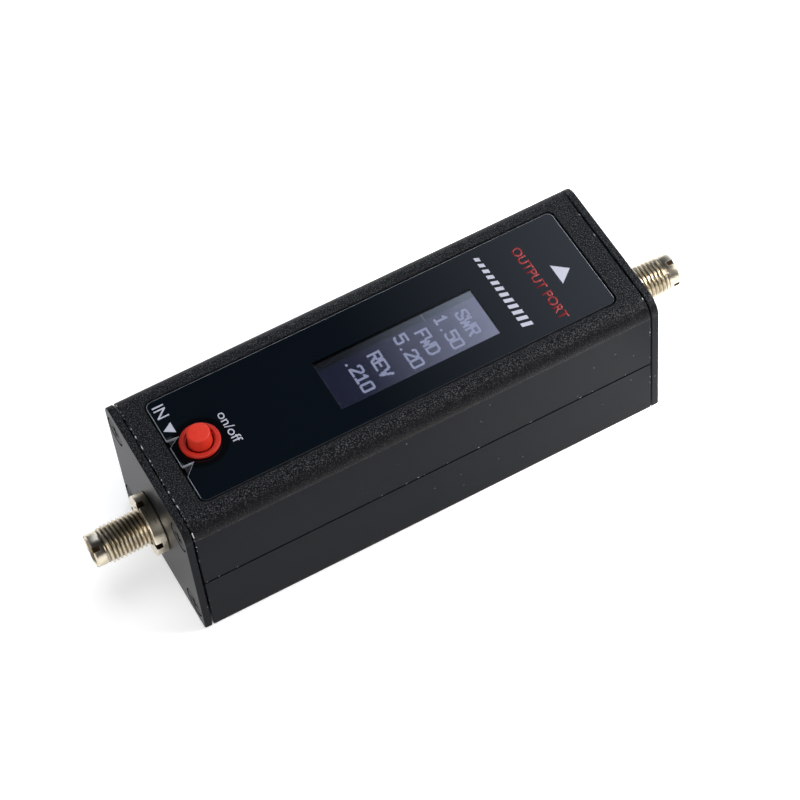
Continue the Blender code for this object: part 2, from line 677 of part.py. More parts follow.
def header_block(name, bottom, top, mat):
    """Plastic strip of the header or of its socket."""
    places = header_places()
    x = places[0][0]
    return block(name, (x - HEADER_DEPTH / 2, places[0][1] - HEADER_PITCH / 2, bottom),
                 (x + HEADER_DEPTH / 2, places[-1][1] + HEADER_PITCH / 2, top), mat)


def header_holes(prefix, target, bottom, top):
    """Square holes around the header pins."""
    half = HEADER_PIN_WIDTH / 2 + SEAT_GAP
    for index, (x, y) in enumerate(header_places()):
        cut(target, block(f"cut_{prefix}_{index}", (x - half, y - half, bottom),
                          (x + half, y + half, top)))


def display_parts(mats):
    """Display glass, its pad, flexible strip, board and header."""
    glass, pad, board = display_levels()
    low, high = display_rectangle(GLASS_BORDER)
    block("oled_glass", (*low, glass[1]), (*high, glass[0]), mats["display_glass"])
    low_pad, high_pad = display_rectangle(GLASS_BORDER - PAD_INSET)
    block("oled_foam_pad", (*low_pad, pad[1]), (*high_pad, pad[0]), mats["foam"])

    low_board, high_board = display_rectangle(GLASS_BORDER + DISPLAY_BOARD_SIDE,
                                              GLASS_BORDER + DISPLAY_BOARD_MARGIN)
    plate = block("display_board", (*low_board, board[1]), (*high_board, board[0]), mats["board"])
    header_holes("display_board", plate, board[1] - CUT_OVERRUN, board[0] + CUT_OVERRUN)

    upper = CEILING - SEAT_GAP - FLEX_THICKNESS
    lower = board[0] + SEAT_GAP
    start = low[0] - SEAT_GAP
    end = low_board[0]
    bends = [start + (end - start) * share for share in FLEX_BEND_SHARES]
    strip = [(start, upper), (bends[0], upper), (bends[1], lower), (end, lower)]
    thick = [(x, z + FLEX_THICKNESS) for x, z in reversed(strip)]
    half = WINDOW_WIDTH * FLEX_WIDTH_SHARE / 2
    prism_y("oled_flex", strip + thick, WINDOW_OFFSET_Y - half, WINDOW_OFFSET_Y + half, mats["flex"])

    strip_top = board[1] - SEAT_GAP
    strip_base = strip_top - HEADER_HEIGHT
    header = header_block("display_header", strip_base, strip_top, mats["black_plastic"])
    half_pin = HEADER_PIN_WIDTH / 2
    for index, (x, y) in enumerate(header_places()):
        pin = block(f"join_header_pin_{index}",
                    (x - half_pin, y - half_pin, strip_base - HEADER_PIN_LENGTH),
                    (x + half_pin, y + half_pin, board[0] + HEADER_PIN_STUB))
        join(header, pin)
    socket_top = strip_base - SEAT_GAP
    socket = header_block("header_socket", BOARD_SEAT, socket_top, mats["black_plastic"])
    header_holes("header_socket", socket, strip_base - HEADER_PIN_LENGTH - SEAT_GAP,
                 socket_top + CUT_OVERRUN)


def main_board_parts(mats):
    """Main board with the coupler's shield, the controller and the charging socket."""
    outline = rounded_rectangle((0.0, 0.0), 2 * BOARD_HALF, BOARD_WIDTH, BOARD_THICKNESS / 2)
    prism_z("main_board", outline, BOARD_BASE, BOARD_TOP, mats["board"])

    half = (SHIELD_LENGTH / 2, SHIELD_WIDTH / 2)
    top = BOARD_SEAT + SHIELD_HEIGHT
    shield = block("coupler_shield", (SHIELD_OFFSET_X - half[0], -half[1], BOARD_SEAT),
                   (SHIELD_OFFSET_X + half[0], half[1], top), mats["tinplate"])
    room = (half[0] - SHIELD_WALL, half[1] - SHIELD_WALL)
    cut(shield, block("cut_shield_room",
                      (SHIELD_OFFSET_X - room[0], -room[1], BOARD_SEAT - CUT_OVERRUN),
                      (SHIELD_OFFSET_X + room[0], room[1], top - SHIELD_WALL)))

    half_chip = CHIP_SIZE / 2
    chip_top = BOARD_SEAT + CHIP_HEIGHT
    chip = block("microcontroller", (CHIP_OFFSET_X - half_chip, -half_chip, BOARD_SEAT),
                 (CHIP_OFFSET_X + half_chip, half_chip, chip_top), mats["black_plastic"])
    reach = half_chip + CHIP_LEG_REACH
    levels = [BOARD_SEAT + CHIP_HEIGHT * share for share in CHIP_LEG_SHARES]
    inner = half_chip - CHIP_LEG_REACH
    spans = ((reach, inner), (inner, reach))
    for index, (wide, deep) in enumerate(spans):
        frame = block(f"join_chip_legs_{index}",
                      (CHIP_OFFSET_X - wide, -deep, levels[0]),
                      (CHIP_OFFSET_X + wide, deep, levels[1]))
        join(chip, frame)


def charge_box(grow=0.0):
    """Corners of the charging socket, grown for the hole in the plate."""
    mouth = PLATE_FACE - CHARGE_SINK
    low = (mouth - CHARGE_LENGTH - grow, CHARGE_OFFSET_Y - CHARGE_WIDTH / 2 - grow,
           BOARD_UNDER - CHARGE_HEIGHT - grow)
    high = (mouth, CHARGE_OFFSET_Y + CHARGE_WIDTH / 2 + grow, BOARD_UNDER + grow)
    return low, high


def charge_cutter(name):
    """Clearance around the charging socket, open past the end of the case."""
    low, high = charge_box(SEAT_GAP)
    return block(name, low, (high[0] + CUT_OVERRUN, high[1], high[2]))


def charge_socket(mats):
    """Shell of the charging socket, under the board, with its tongue."""
    low, high = charge_box()
    socket = block("charge_socket", low, high, mats["tinplate"])
    room_low = (low[0] + CHARGE_WALL, low[1] + CHARGE_WALL, low[2] + CHARGE_WALL)
    room_high = (high[0] + CUT_OVERRUN, high[1] - CHARGE_WALL, high[2] - CHARGE_WALL)
    cut(socket, block("cut_charge_room", room_low, room_high))
    middle = (low[2] + high[2]) / 2
    tongue_half = (high[1] - low[1]) / 4
    tongue = block("join_charge_tongue",
                   (low[0] + CHARGE_WALL / 2, CHARGE_OFFSET_Y - tongue_half, middle - CHARGE_TONGUE / 2),
                   (high[0] - CHARGE_WALL, CHARGE_OFFSET_Y + tongue_half, middle + CHARGE_TONGUE / 2))
    join(socket, tongue)


def battery_parts(mats):
    """Flat cell on its tape, and the plug, socket and leads that join it to the board."""
    low = CELL_OFFSET_X - CELL_LENGTH / 2
    high = CELL_OFFSET_X + CELL_LENGTH / 2
    half = CELL_WIDTH / 2
    tape_base = FLOOR_WALL + SEAT_GAP
    tape_top = tape_base + TAPE_THICKNESS
    block("battery_tape", (low + TAPE_INSET, TAPE_INSET - half, tape_base),
          (high - TAPE_INSET, half - TAPE_INSET, tape_top), mats["foam"])
    cell_base = tape_top + SEAT_GAP
    middle = cell_base + CELL_THICKNESS / 2
    section = rounded_rectangle((0.0, middle), CELL_WIDTH, CELL_THICKNESS, CELL_CORNER)
    prism_x("battery_cell", section, low, high, mats["cell"], True)

    mouth = high + SOCKET_FROM_CELL
    side = SOCKET_WIDTH / 2
    base = BOARD_UNDER - SOCKET_HEIGHT
    socket = block("battery_socket", (mouth, -side, base),
                   (mouth + SOCKET_LENGTH, side, BOARD_UNDER), mats["white_plastic"])
    inner = side - SOCKET_WALL
    cut(socket, block("cut_socket_mouth", (mouth - CUT_OVERRUN, -inner, base + SOCKET_WALL),
                      (mouth + SOCKET_MOUTH, inner, BOARD_UNDER - SOCKET_WALL)))
    plug_side = inner - SEAT_GAP
    plug_base = base + SOCKET_WALL + SEAT_GAP
    plug_top = BOARD_UNDER - SOCKET_WALL - SEAT_GAP
    block("battery_plug", (mouth - PLUG_REACH, -plug_side, plug_base),
          (mouth + SOCKET_MOUTH - SEAT_GAP, plug_side, plug_top), mats["white_plastic"])

    start = high + SEAT_GAP
    end = mouth - PLUG_REACH - SEAT_GAP
    plug_middle = (plug_base + plug_top) / 2
    for name, hand in (("battery_lead_red", 1), ("battery_lead_black", -1)):
        y = hand * LEAD_SPACING / 2
        lead(name, (start, y, middle), (end, y, plug_middle), mats[name])


def lead(name, start, end, mat, points=7):
    """Short insulated wire that leaves and arrives along X."""
    curve = bpy.data.curves.new(name, 'CURVE')
    curve.dimensions = '3D'
    curve.bevel_depth = LEAD_RADIUS
    curve.bevel_resolution = 2
    curve.use_fill_caps = True
    spline = curve.splines.new('POLY')
    spline.points.add(points - 1)
    for i in range(points):
        share = i / (points - 1)
        ease = (1 - cos(pi * share)) / 2
        spline.points[i].co = (start[0] + (end[0] - start[0]) * share, start[1],
                               start[2] + (end[2] - start[2]) * ease, 1.0)
    curve.materials.append(mat)
    obj = bpy.data.objects.new(name, curve)
    bpy.context.scene.collection.objects.link(obj)
    return obj


def button_bezel(mat):
    """Red flange with a counterbore, on a barrel that passes the top of the case."""
    rim = BEZEL_TOP - BEZEL_EDGE
    step = BEZEL_TOP - COUNTERBORE_DEPTH
    profile = [(BEZEL_BORE, BARREL_END), (BARREL_RADIUS, BARREL_END), (BARREL_RADIUS, BEZEL_BASE),
               (BEZEL_RADIUS, BEZEL_BASE), (BEZEL_RADIUS, rim), (BEZEL_RADIUS - BEZEL_EDGE, BEZEL_TOP),
               (COUNTERBORE_RADIUS, BEZEL_TOP), (COUNTERBORE_RADIUS - BEZEL_EDGE, step),
               (BEZEL_BORE, step)]
    turned_z("button_bezel", profile, (BUTTON_X, BUTTON_Y), mat, closed=True)


def button_nut(mat):
    """Hexagon nut under the top of the case."""
    top = CEILING - SEAT_GAP
    corner = BUTTON_NUT_FLATS / 2 / cos(pi / 6)
    outline = [(BUTTON_X + corner * cos(pi / 3 * i), BUTTON_Y + corner * sin(pi / 3 * i))
               for i in range(6)]
    nut = prism_z("button_nut", outline, top - BUTTON_NUT_THICKNESS, top, mat)
    hole = [(BUTTON_HOLE, top - BUTTON_NUT_THICKNESS - CUT_OVERRUN), (BUTTON_HOLE, top + CUT_OVERRUN)]
    cut(nut, turned_z("cut_button_nut", hole, (BUTTON_X, BUTTON_Y)))


def switch_levels():
    """Heights inside the switch, from the collar down to the floor."""
    collar_top = BARREL_END - SEAT_GAP
    collar_base = collar_top - COLLAR_THICKNESS
    stem_end = collar_base - STEM_LENGTH
    disc_top = stem_end - SEAT_GAP
    disc_base = disc_top - DISC_THICKNESS
    terminal_top = disc_base - BUTTON_TRAVEL - SEAT_GAP
    floor_top = terminal_top - TERMINAL_STUB
    return collar_top, collar_base, stem_end, disc_top, disc_base, terminal_top, floor_top


def button_cap(mat):
    """Red plunger: tapered cap, retaining collar and stem; its origin is on the joint axis."""
    collar_top, collar_base, stem_end = switch_levels()[:3]
    top = BEZEL_TOP + CAP_RISE
    profile = [(CAP_TOP_RADIUS - CAP_EDGE, top), (CAP_TOP_RADIUS, top - CAP_EDGE),
               (CAP_BASE_RADIUS, BEZEL_BASE), (CAP_BASE_RADIUS, collar_top),
               (COLLAR_RADIUS, collar_top), (COLLAR_RADIUS, collar_base),
               (STEM_RADIUS, collar_base), (STEM_RADIUS, stem_end)]
    rings = [(radius, z - BEZEL_BASE) for radius, z in profile]
    cap = turned_z("button_cap", rings, (0.0, 0.0), mat)
    cap.location = (BUTTON_X, BUTTON_Y, BEZEL_BASE)
    return cap


def switch_parts(mats):
    """Contact disc, spring, base and the two terminals that stand on the board."""
    _, collar_base, _, disc_top, disc_base, terminal_top, floor_top = switch_levels()
    place = (BUTTON_X, BUTTON_Y)
    turned_z("contact_disc", [(DISC_RADIUS, disc_base), (DISC_RADIUS, disc_top)], place,
             mats["brass"], sides=TURNED_SIDES // 2)

    chamber = COLLAR_RADIUS + SEAT_GAP
    outer = chamber + BASE_WALL
    rim = BARREL_END - SEAT_GAP
    bottom = floor_top - BASE_FLOOR
    profile = [(outer, bottom), (outer, rim), (chamber, rim), (chamber, floor_top)]
    base = turned_z("switch_base", profile, place, mats["black_plastic"])
    hole = TERMINAL_WIDTH / 2 + SEAT_GAP
    half = TERMINAL_WIDTH / 2
    for name, hand in (("switch_terminal_left", 1), ("switch_terminal_right", -1)):
        y = BUTTON_Y + hand * TERMINAL_SPACING / 2
        cut(base, block(f"cut_{name}", (BUTTON_X - hole, y - hole, bottom - CUT_OVERRUN),
                        (BUTTON_X + hole, y + hole, floor_top + CUT_OVERRUN)))
        block(name, (BUTTON_X - half, y - half, BOARD_SEAT),
              (BUTTON_X + half, y + half, terminal_top), mats["brass"])

    start = floor_top + SEAT_GAP + SPRING_WIRE
    end = collar_base - SEAT_GAP - SPRING_WIRE
    spring("button_spring", place, start, end, mats["steel"])


def spring(name, place, low, high, mat, steps=14, sides=6):
    """Open helical spring of round wire."""
    count = round(SPRING_TURNS * steps)
    rings = []
    for i in range(count + 1):
        angle = tau * i / steps
        outward = Vector((cos(angle), sin(angle), 0.0))
        center = Vector((*place, low + (high - low) * i / count)) + outward * SPRING_RADIUS
        ring = []
        for j in range(sides):
            turn = tau * j / sides
            ring.append(center + outward * SPRING_WIRE * cos(turn)
                        + Vector((0.0, 0.0, SPRING_WIRE * sin(turn))))
        rings.append(ring)
    return add_object(name, mesh_from_rings(name, rings), mat, True)


def make_materials():
    """Colours in linear light, from the photograph."""
    return {
        "case": material("black_anodised_aluminium", (0.020, 0.020, 0.022), 0.45, 0.6),
        "plate": material("black_anodised_plate", (0.022, 0.022, 0.024), 0.35, 0.6),
        "screw": material("black_steel_screw", (0.030, 0.030, 0.032), 0.4, 0.8),
        "nickel": material("nickel_plated_brass", (0.62, 0.54, 0.40), 0.25, 1.0),
        "insulator": material("white_fluoropolymer", (0.85, 0.85, 0.82), 0.5),
        "gold": material("gold_plated_contact", (0.80, 0.58, 0.22), 0.25, 1.0),
        "panel": material("clear_acrylic", (0.012, 0.015, 0.022), 0.08, alpha=0.35),
        "adhesive": material("black_adhesive", (0.008, 0.008, 0.009), 0.6),
        "display_glass": material("display_glass", (0.030, 0.032, 0.055), 0.1),
        "foam": material("grey_foam", (0.10, 0.10, 0.10), 0.9),
        "board": material("green_circuit_board", (0.010, 0.090, 0.030), 0.4),
        "flex": material("amber_flexible_strip", (0.45, 0.22, 0.04), 0.4),
        "black_plastic": material("black_moulded_plastic", (0.015, 0.015, 0.015), 0.5),
        "white_plastic": material("white_moulded_plastic", (0.75, 0.73, 0.66), 0.5),
        "tinplate": material("tinplate", (0.60, 0.60, 0.58), 0.35, 1.0),
        "cell": material("aluminised_pouch", (0.45, 0.46, 0.48), 0.35, 0.8),
        "battery_lead_red": material("red_insulation", (0.50, 0.02, 0.02), 0.5),
        "battery_lead_black": material("black_insulation", (0.02, 0.02, 0.02), 0.5),
        "red_plastic": material("red_moulded_plastic", (0.66, 0.035, 0.020), 0.35),
        "brass": material("brass", (0.65, 0.45, 0.18), 0.35, 1.0),
        "steel": material("spring_steel", (0.45, 0.45, 0.45), 0.35, 1.0),
    }


def main():
    for obj in list(bpy.data.objects):
        bpy.data.objects.remove(obj, do_unlink=True)

    mats = make_materials()
    upper_shell(mats["case"])
    lower_shell(mats["case"])
    ends = (("input", -1, radians(33)), ("output", 1, radians(100)))
    for name, side, slot_angle in ends:
        plate = end_plate(f"{name}_end_plate", side, mats["plate"])
        if name == "output":
            cut(plate, charge_cutter("cut_plate_charge"))
        for index, place in enumerate(channel_places()):
            end_screw(f"{name}_end_screw_{index + 1}", side, place, mats["screw"])
        connector_body(f"{name}_connector_body", side, slot_angle, mats["nickel"])
        connector_insulator(f"{name}_insulator", side, mats["insulator"])
        connector_contact(f"{name}_contact", side, mats["gold"])
        ring_nut(f"{name}_ring_nut", side, mats["nickel"])
    face_panel(mats["panel"])
    panel_adhesive(mats["adhesive"])
    display_parts(mats)
    main_board_parts(mats)
    charge_socket(mats)
    battery_parts(mats)
    button_bezel(mats["red_plastic"])
    button_nut(mats["steel"])
    button_cap(mats["red_plastic"])
    switch_parts(mats)


main()
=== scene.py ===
"""Looks of an in-line power meter: finishes, fine shapes, soft studio light and camera.

The file is laid out as an add-on and runs as a script. Metres, +Z up, in the frame of the
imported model: X runs along the case from the input end to the output end.
"""

from math import acos, asin, atan2, cos, hypot, pi, radians, sin, tan, tau

import bmesh
import bpy
from bpy.props import FloatProperty, FloatVectorProperty, IntProperty, PointerProperty
from mathutils import Matrix, Vector


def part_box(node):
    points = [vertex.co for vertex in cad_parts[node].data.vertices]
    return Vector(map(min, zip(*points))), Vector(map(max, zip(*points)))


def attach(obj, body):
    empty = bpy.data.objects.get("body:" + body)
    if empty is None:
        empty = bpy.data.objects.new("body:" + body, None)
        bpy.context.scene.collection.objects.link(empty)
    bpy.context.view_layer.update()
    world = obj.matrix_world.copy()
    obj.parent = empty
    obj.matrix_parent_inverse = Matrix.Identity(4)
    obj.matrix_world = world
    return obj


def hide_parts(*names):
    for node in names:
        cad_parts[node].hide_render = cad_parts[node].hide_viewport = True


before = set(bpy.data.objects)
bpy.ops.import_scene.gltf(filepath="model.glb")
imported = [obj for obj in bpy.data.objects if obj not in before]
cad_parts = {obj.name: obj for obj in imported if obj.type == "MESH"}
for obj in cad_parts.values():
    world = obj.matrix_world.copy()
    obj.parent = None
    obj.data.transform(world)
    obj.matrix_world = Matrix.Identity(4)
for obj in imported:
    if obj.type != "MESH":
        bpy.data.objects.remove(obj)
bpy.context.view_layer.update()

bl_info = {
    "name": "In-line Meter Looks",
    "version": (1, 0, 0),
    "blender": (4, 5, 0),
    "location": "View3D > Sidebar > Meter",
    "description": "Finishes, fine shapes, soft light and camera for an in-line power meter",
    "category": "Object",
}

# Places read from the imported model
UPPER_LOW, UPPER_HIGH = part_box("upper_shell")
PLATE_LOW, PLATE_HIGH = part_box("output_end_plate")
PANEL_LOW, PANEL_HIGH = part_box("face_panel")
SHEET_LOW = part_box("panel_adhesive")[0]
GLASS_LOW, GLASS_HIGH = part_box("oled_glass")
BEZEL_LOW, BEZEL_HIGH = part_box("button_bezel")
CAP_LOW, CAP_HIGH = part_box("button_cap")
NUT_LOW, NUT_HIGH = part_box("output_ring_nut")
BODY_LOW, BODY_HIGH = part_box("output_connector_body")
SLEEVE_LOW, SLEEVE_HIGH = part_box("output_insulator")
CONTACT_LOW, CONTACT_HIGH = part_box("output_contact")
SOCKET_LOW, SOCKET_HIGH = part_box("charge_socket")
BOARD_LOW, BOARD_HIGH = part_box("main_board")

CASE_END = UPPER_HIGH.x
CASE_SIDE = UPPER_HIGH.y
CASE_TOP = UPPER_HIGH.z
SPLIT_RIM = UPPER_LOW.z             # lower rim of the upper shell
AXIS_HEIGHT = (NUT_LOW.z + NUT_HIGH.z) / 2
PLATE_INNER = PLATE_LOW.x
PLATE_FACE = PLATE_HIGH.x
TIP_END = BODY_HIGH.x
BUTTON_X = (BEZEL_LOW.x + BEZEL_HIGH.x) / 2
BUTTON_Y = (BEZEL_LOW.y + BEZEL_HIGH.y) / 2

SEAT_GAP = 0.00025                  # air between pieces that touch
FLUSH_GAP = SEAT_GAP / 5            # hair between faces that lie flush
UNDER_PANEL = PANEL_LOW.z - SEAT_GAP / 4    # the tape and the display lie against the panel
OVERRUN = 0.001                     # how far a cutter runs past what it cuts
ARC_STEPS = 14
FILLET_STEPS = 4
EDGE_STEPS = 2
ROUND_STEPS = 96                    # steps around nuts, the button and the floor
BORE_STEPS = 64
SMALL_STEPS = 48
PIN_STEPS = 40
CHANNEL_STEPS = 32
SHARP_ANGLE = radians(32)
FACING_SHARE = 0.95                 # a face looks along an axis from this share of its normal

# Sections of the two shells
SIDE_WALL = 0.0016
TOP_WALL = 0.0023
FLOOR_WALL = 0.0018
CHANNEL_SIDE_INSET = 0.0032
CHANNEL_TOP_INSET = 0.0046
CHANNEL_BASE_INSET = 0.0042
CHANNEL_RADIUS = 0.0026
BOARD_SEAT = BOARD_HIGH.z + SEAT_GAP    # upper and lower faces of the slot for the board
BOARD_UNDER = BOARD_LOW.z - SEAT_GAP
RAIL_THICKNESS = 0.0009
RAIL_DEPTH = 0.0012
LIP_THICKNESS = 0.0012
LIP_MARGIN = 0.0012
RECESS_MARGIN = 0.00035             # open line around the face panel
RECESS_CORNER = 0.00145

# End screws
SCREW_RADIUS = 0.00125
SCREW_HEAD_RADIUS = 0.00235
SCREW_HEAD_RIM = 0.00015
SCREW_LENGTH = 0.0060
SCREW_POINT = 0.0008
SCREW_TIP_RADIUS = 0.0006
CROSS_SPAN = 0.0026
CROSS_WIDTH = 0.00058
CROSS_DEPTH = 0.00075
CROSS_MOUTH_SHARE = 1.3             # size of the cross above the face and at its floor
CROSS_TAPER_SHARE = 0.55

# Connector
THREAD_RADIUS = 0.003175
FLANK_STEEPNESS = 1.35              # flanks and flat root of the thread, as shares of a turn
ROOT_SHARE = 0.1
BARREL_CHAMFER = 0.0002
TIP_RADIUS = 0.00285
TIP_LENGTH = 0.0019
TIP_SLOT_WIDTH = 0.0008
TIP_SLOT_DEPTH = 0.0013
SLOT_SKIN = 0.00014                 # metal left between a slot and the bore
BORE_RADIUS = 0.0023
FLANGE_RADIUS = 0.0050
FLANGE_THICKNESS = 0.0018
TAIL_RADIUS = 0.0030
TAIL_LENGTH = 0.0020
LEG_SIZE = 0.0010
LEG_SPACING = 0.0054
LEG_REACH = 0.0020
CONTACT_RADIUS = 0.00065
CONTACT_BORE = 0.00046
CONTACT_BORE_DEPTH = 0.0030
CONTACT_SLIT = 0.00014
CONTACT_SLIT_DEPTH = 0.0018
PIN_RADIUS = 0.00045
SLOT_TURNS = {-1: radians(33), 1: radians(100)}
CONTACT_RIM = 0.0001
NOTCH_IN_NUT = 0.0011               # depth of a spanner notch
NOTCH_WIDTH = 0.0012
NUT_RIM = 0.00018
NUT_TURN = radians(7)

# Charging socket
SOCKET_WALL = 0.0003
SOCKET_CORNER = 0.0007
TONGUE_HALF_THICKNESS = 0.0003

# Face panel
PANEL_CORNER = 0.0011
NOTCH_DEPTH = 0.0019
NOTCHES = ((0.00255, 0.00234, 0.00117), (-0.00304, -0.00319, -0.0051))  # y of edge, point, edge

# Display window and readout
WINDOW = ((-0.0105, -0.0064), (0.0182, 0.00395))
ROW_PLACES = (0.01471, 0.01130, 0.00745, 0.00401, -0.00114, -0.00489)
ROW_WORDS = ("SWR", "1.50", "FWD", "5.20", "REV", ".210")
ROW_CHARACTERS = 4
READOUT_START = 0.00192             # y of the first column
CELL_COLUMNS = 8
CELL_ROWS = 12
DOT_LIT_SHARE = 0.86                # lit share of a dot's length and width
DOT_THICKNESS = 0.00002
GLASS_EDGE = 0.00006

# Pen strokes of the readout's characters, in dots from the lower left corner of a cell
STROKES = {
    "S": (((6, 8), (6, 9), (5, 10), (1, 10), (0, 9), (0, 7), (1, 6), (5, 4), (6, 3), (6, 1),
           (5, 0), (1, 0), (0, 1), (0, 2)),),
    "W": (((0, 10), (1, 0), (3, 6), (5, 0), (6, 10)),),
    "R": (((0, 0), (0, 10), (5, 10), (6, 9), (6, 6), (5, 5), (0, 5)), ((3, 5), (6, 0))),
    "F": (((0, 0), (0, 10), (6, 10)), ((0, 5), (4, 5))),
    "D": (((0, 0), (0, 10), (4, 10), (6, 8), (6, 2), (4, 0), (0, 0)),),
    "E": (((6, 0), (0, 0), (0, 10), (6, 10)), ((0, 5), (4, 5))),
    "V": (((0, 10), (3, 0), (6, 10)),),
    "0": (((1, 0), (5, 0), (6, 1), (6, 9), (5, 10), (1, 10), (0, 9), (0, 1), (1, 0)),),
    "1": (((1, 8), (3, 10), (3, 0)), ((1, 0), (5, 0))),
    "2": (((0, 8), (0, 9), (1, 10), (5, 10), (6, 9), (6, 7), (0, 1), (0, 0), (6, 0)),),
    "5": (((6, 10), (0, 10), (0, 6), (5, 6), (6, 5), (6, 1), (5, 0), (1, 0), (0, 1)),),
    ".": (((3, 0), (3, 0)),),
}

# Printed words: text, lowest x, height, first y, last y, thickening of the letters, ink
LEGENDS = {
    "legend_in": ("IN", -0.03627, 0.00197, 0.0093, 0.0068, 0.0, "white"),
    "legend_switch": ("on/off", -0.0279, 0.0016, 0.00305, -0.00333, 0.0, "white"),
    "legend_out": ("OUTPUT PORT", 0.0274, 0.0017, 0.0071, -0.0092, 0.02, "red"),
}
INPUT_ARROW = ((-0.0365, 0.0044), (-0.0348, 0.0033), (-0.0348, 0.0055))
OUTPUT_ARROW = ((0.0339, -0.00105), (0.0314, 0.00107), (0.0314, -0.00316))
PRINT_THICKNESS = 0.000012
LETTER_WELD = 0.0005                # in the font's own units
BAR_COUNT = 12
BAR_WIDTH_SHARE = 0.55
BAR_FIRST_SHARE = 0.45              # length of the first bar, as a share of the last
BAR_START = 0.0088                  # y of the first bar of the level scale
BAR_END = -0.0079
BAR_BASE = 0.02155
BAR_TOP = 0.0234
BAR_LEAN = 0.0004

# Button
BEZEL_BARREL = 0.00269              # radius of the barrel under the flange
BEZEL_BORE = 0.00227
COUNTERBORE_RADIUS = 0.00254
COUNTERBORE_DEPTH = 0.0004
CAP_TOP_RADIUS = 0.00184
CAP_BASE_RADIUS = 0.00202
COLLAR_RADIUS = 0.0027
COLLAR_THICKNESS = 0.0008
STEM_RADIUS = 0.0008
FLANGE_HEIGHT = 0.00055
CAP_CORE_RADIUS = 0.0001            # middle of the cap's flat top

# Real sizes of the patterns in the finishes, and where they lie
PLATE_GRAIN = 0.0004
PLATING_PATCH = 0.0016
TURNING_LINE = 0.0001
MOULD_SKIN = 0.0004
ORANGE_PEEL = 0.004
EDGE_STREAK = 0.0008
GLASS_CLOUD = 0.006
DOT_PATCH = 0.0012
FOAM_CELL = 0.0003
SHEET_CLOUD = 0.02
CHIP_SIZE = 0.0006
CHIP_LEVELS = (0.56, 0.66)          # noise above these is bare metal: at the worn end, elsewhere
SEAM_REACH = 0.00016                # chips lie this near to the ends and to the joint line
SPLIT_REACH = 0.00022
DUST_SHARE = 0.0004
FINE_RELIEF = 0.00001               # depth of the finest surface grain
RING_RADIUS = 0.00455               # radius of the blacker disc round the button
RING_BLUR = 0.00025
EDGE_SHEEN = (0.00085, 0.00175)     # from the panel's end: painted sheen up to here, plain print from here
# how far the painted sheen reaches to either side of the button
EDGE_SHEEN_REACH = 0.0034
BARE_FLOOR = (0.00215, 0.00235)     # from the panel's end: bare floor up to here, tape from here
FRONT_EDGE_REACH = 0.0009
STRIP_START = 0.0022                # y where the strip beside the dots starts
STRIP_BLUR = 0.0002
STRIP_LINE = 0.0090
STRIP_LINE_REACH = 0.00006
WINDOW_BORDER = 0.00014
WINDOW_BORDER_REACH = 0.00005

# Softboxes: place, point that they face, side
SOFTBOXES = {
    "overhead_softbox": ((0.0, 0.05, 1.0), (0.0, 0.0, 0.0), 0.60),
    "front_softbox": ((-0.55, -0.70, 0.50), (0.0, 0.0, 0.0), 0.50),
    "right_softbox": ((0.20, -0.08, 0.16), (0.04, -0.01, 0.0), 0.12),
}

# Surroundings by direction: axis, where a change starts and ends, level before and after it
WALLS = {
    "ceiling": ("Z", 0.50, 0.74, 0.10, 0.022, 'SMOOTHSTEP'),
    "front": ("Y", -0.65, -0.30, 0.15, 1.0, 'SMOOTHSTEP'),
}
BRIGHT_PATCH = {
    "edge": ("X", 0.20, 0.33, 0.0, 1.1, 'SMOOTHSTEP'),
    "core": ("X", 0.30, 0.50, 1.0, 2.2, 'SMOOTHSTEP'),
    "beyond": ("X", 0.58, 0.68, 1.0, 0.1, 'LINEAR'),
    "behind": ("Y", 0.30, 0.45, 0.0, 1.0, 'LINEAR'),
}


def linear(hex_colour):
    """Turn an sRGB hex colour into linear light, with full alpha."""
    parts = [int(hex_colour[i:i + 2], 16) / 255 for i in (1, 3, 5)]
    return (*[c / 12.92 if c <= 0.04045 else ((c + 0.055) / 1.055) ** 2.4 for c in parts], 1.0)


def size_property(name, default, description):
    """A length in metres."""
    return FloatProperty(name=name, default=default, min=0.0, precision=5, unit='LENGTH',
                         description=description)


def colour_property(name, hex_colour, description):
    """A colour, given in sRGB hex."""
    return FloatVectorProperty(name=name, default=linear(hex_colour), size=4, min=0.0, max=1.0,
                               subtype='COLOR', description=description)


class MeterCaseSettings(bpy.types.PropertyGroup):
    top_radius: size_property("Top Radius", 0.0030, "Radius along the upper edges")
    base_radius: size_property("Base Radius", 0.0010, "Radius along the lower edges")
    edge_break: size_property("Edge Break", 0.00012, "Rounding of the sawn ends")
    plate_round: size_property("Plate Rounding", 0.00025, "Rounding of the end plates")
    grit: size_property("Blasting Grit", 0.00020, "Grain of the blasted top")
    blasted: colour_property("Blasted Black", "#050607", "Black dye on the blasted top")
    satin: colour_property("Satin Black", "#0A0D12", "Black dye on the extruded sides")
    bare: colour_property("Bare Metal", "#BCBDBF", "Aluminium where an edge is chipped")


class MeterPanelSettings(bpy.types.PropertyGroup):
    edge_round: size_property("Edge Rounding", 0.00010, "Rounding of the cut edge")
    ink: colour_property("Panel Ink", "#070D13", "Black print behind the clear sheet")
    cut_edge: colour_property("Cut Edge", "#A8ADB5", "Light gathered by the cut edge")
    white_ink: colour_property("White Ink", "#B0B2BE", "Words and marks")
    red_ink: colour_property("Red Ink", "#8A2226", "Words at the output")


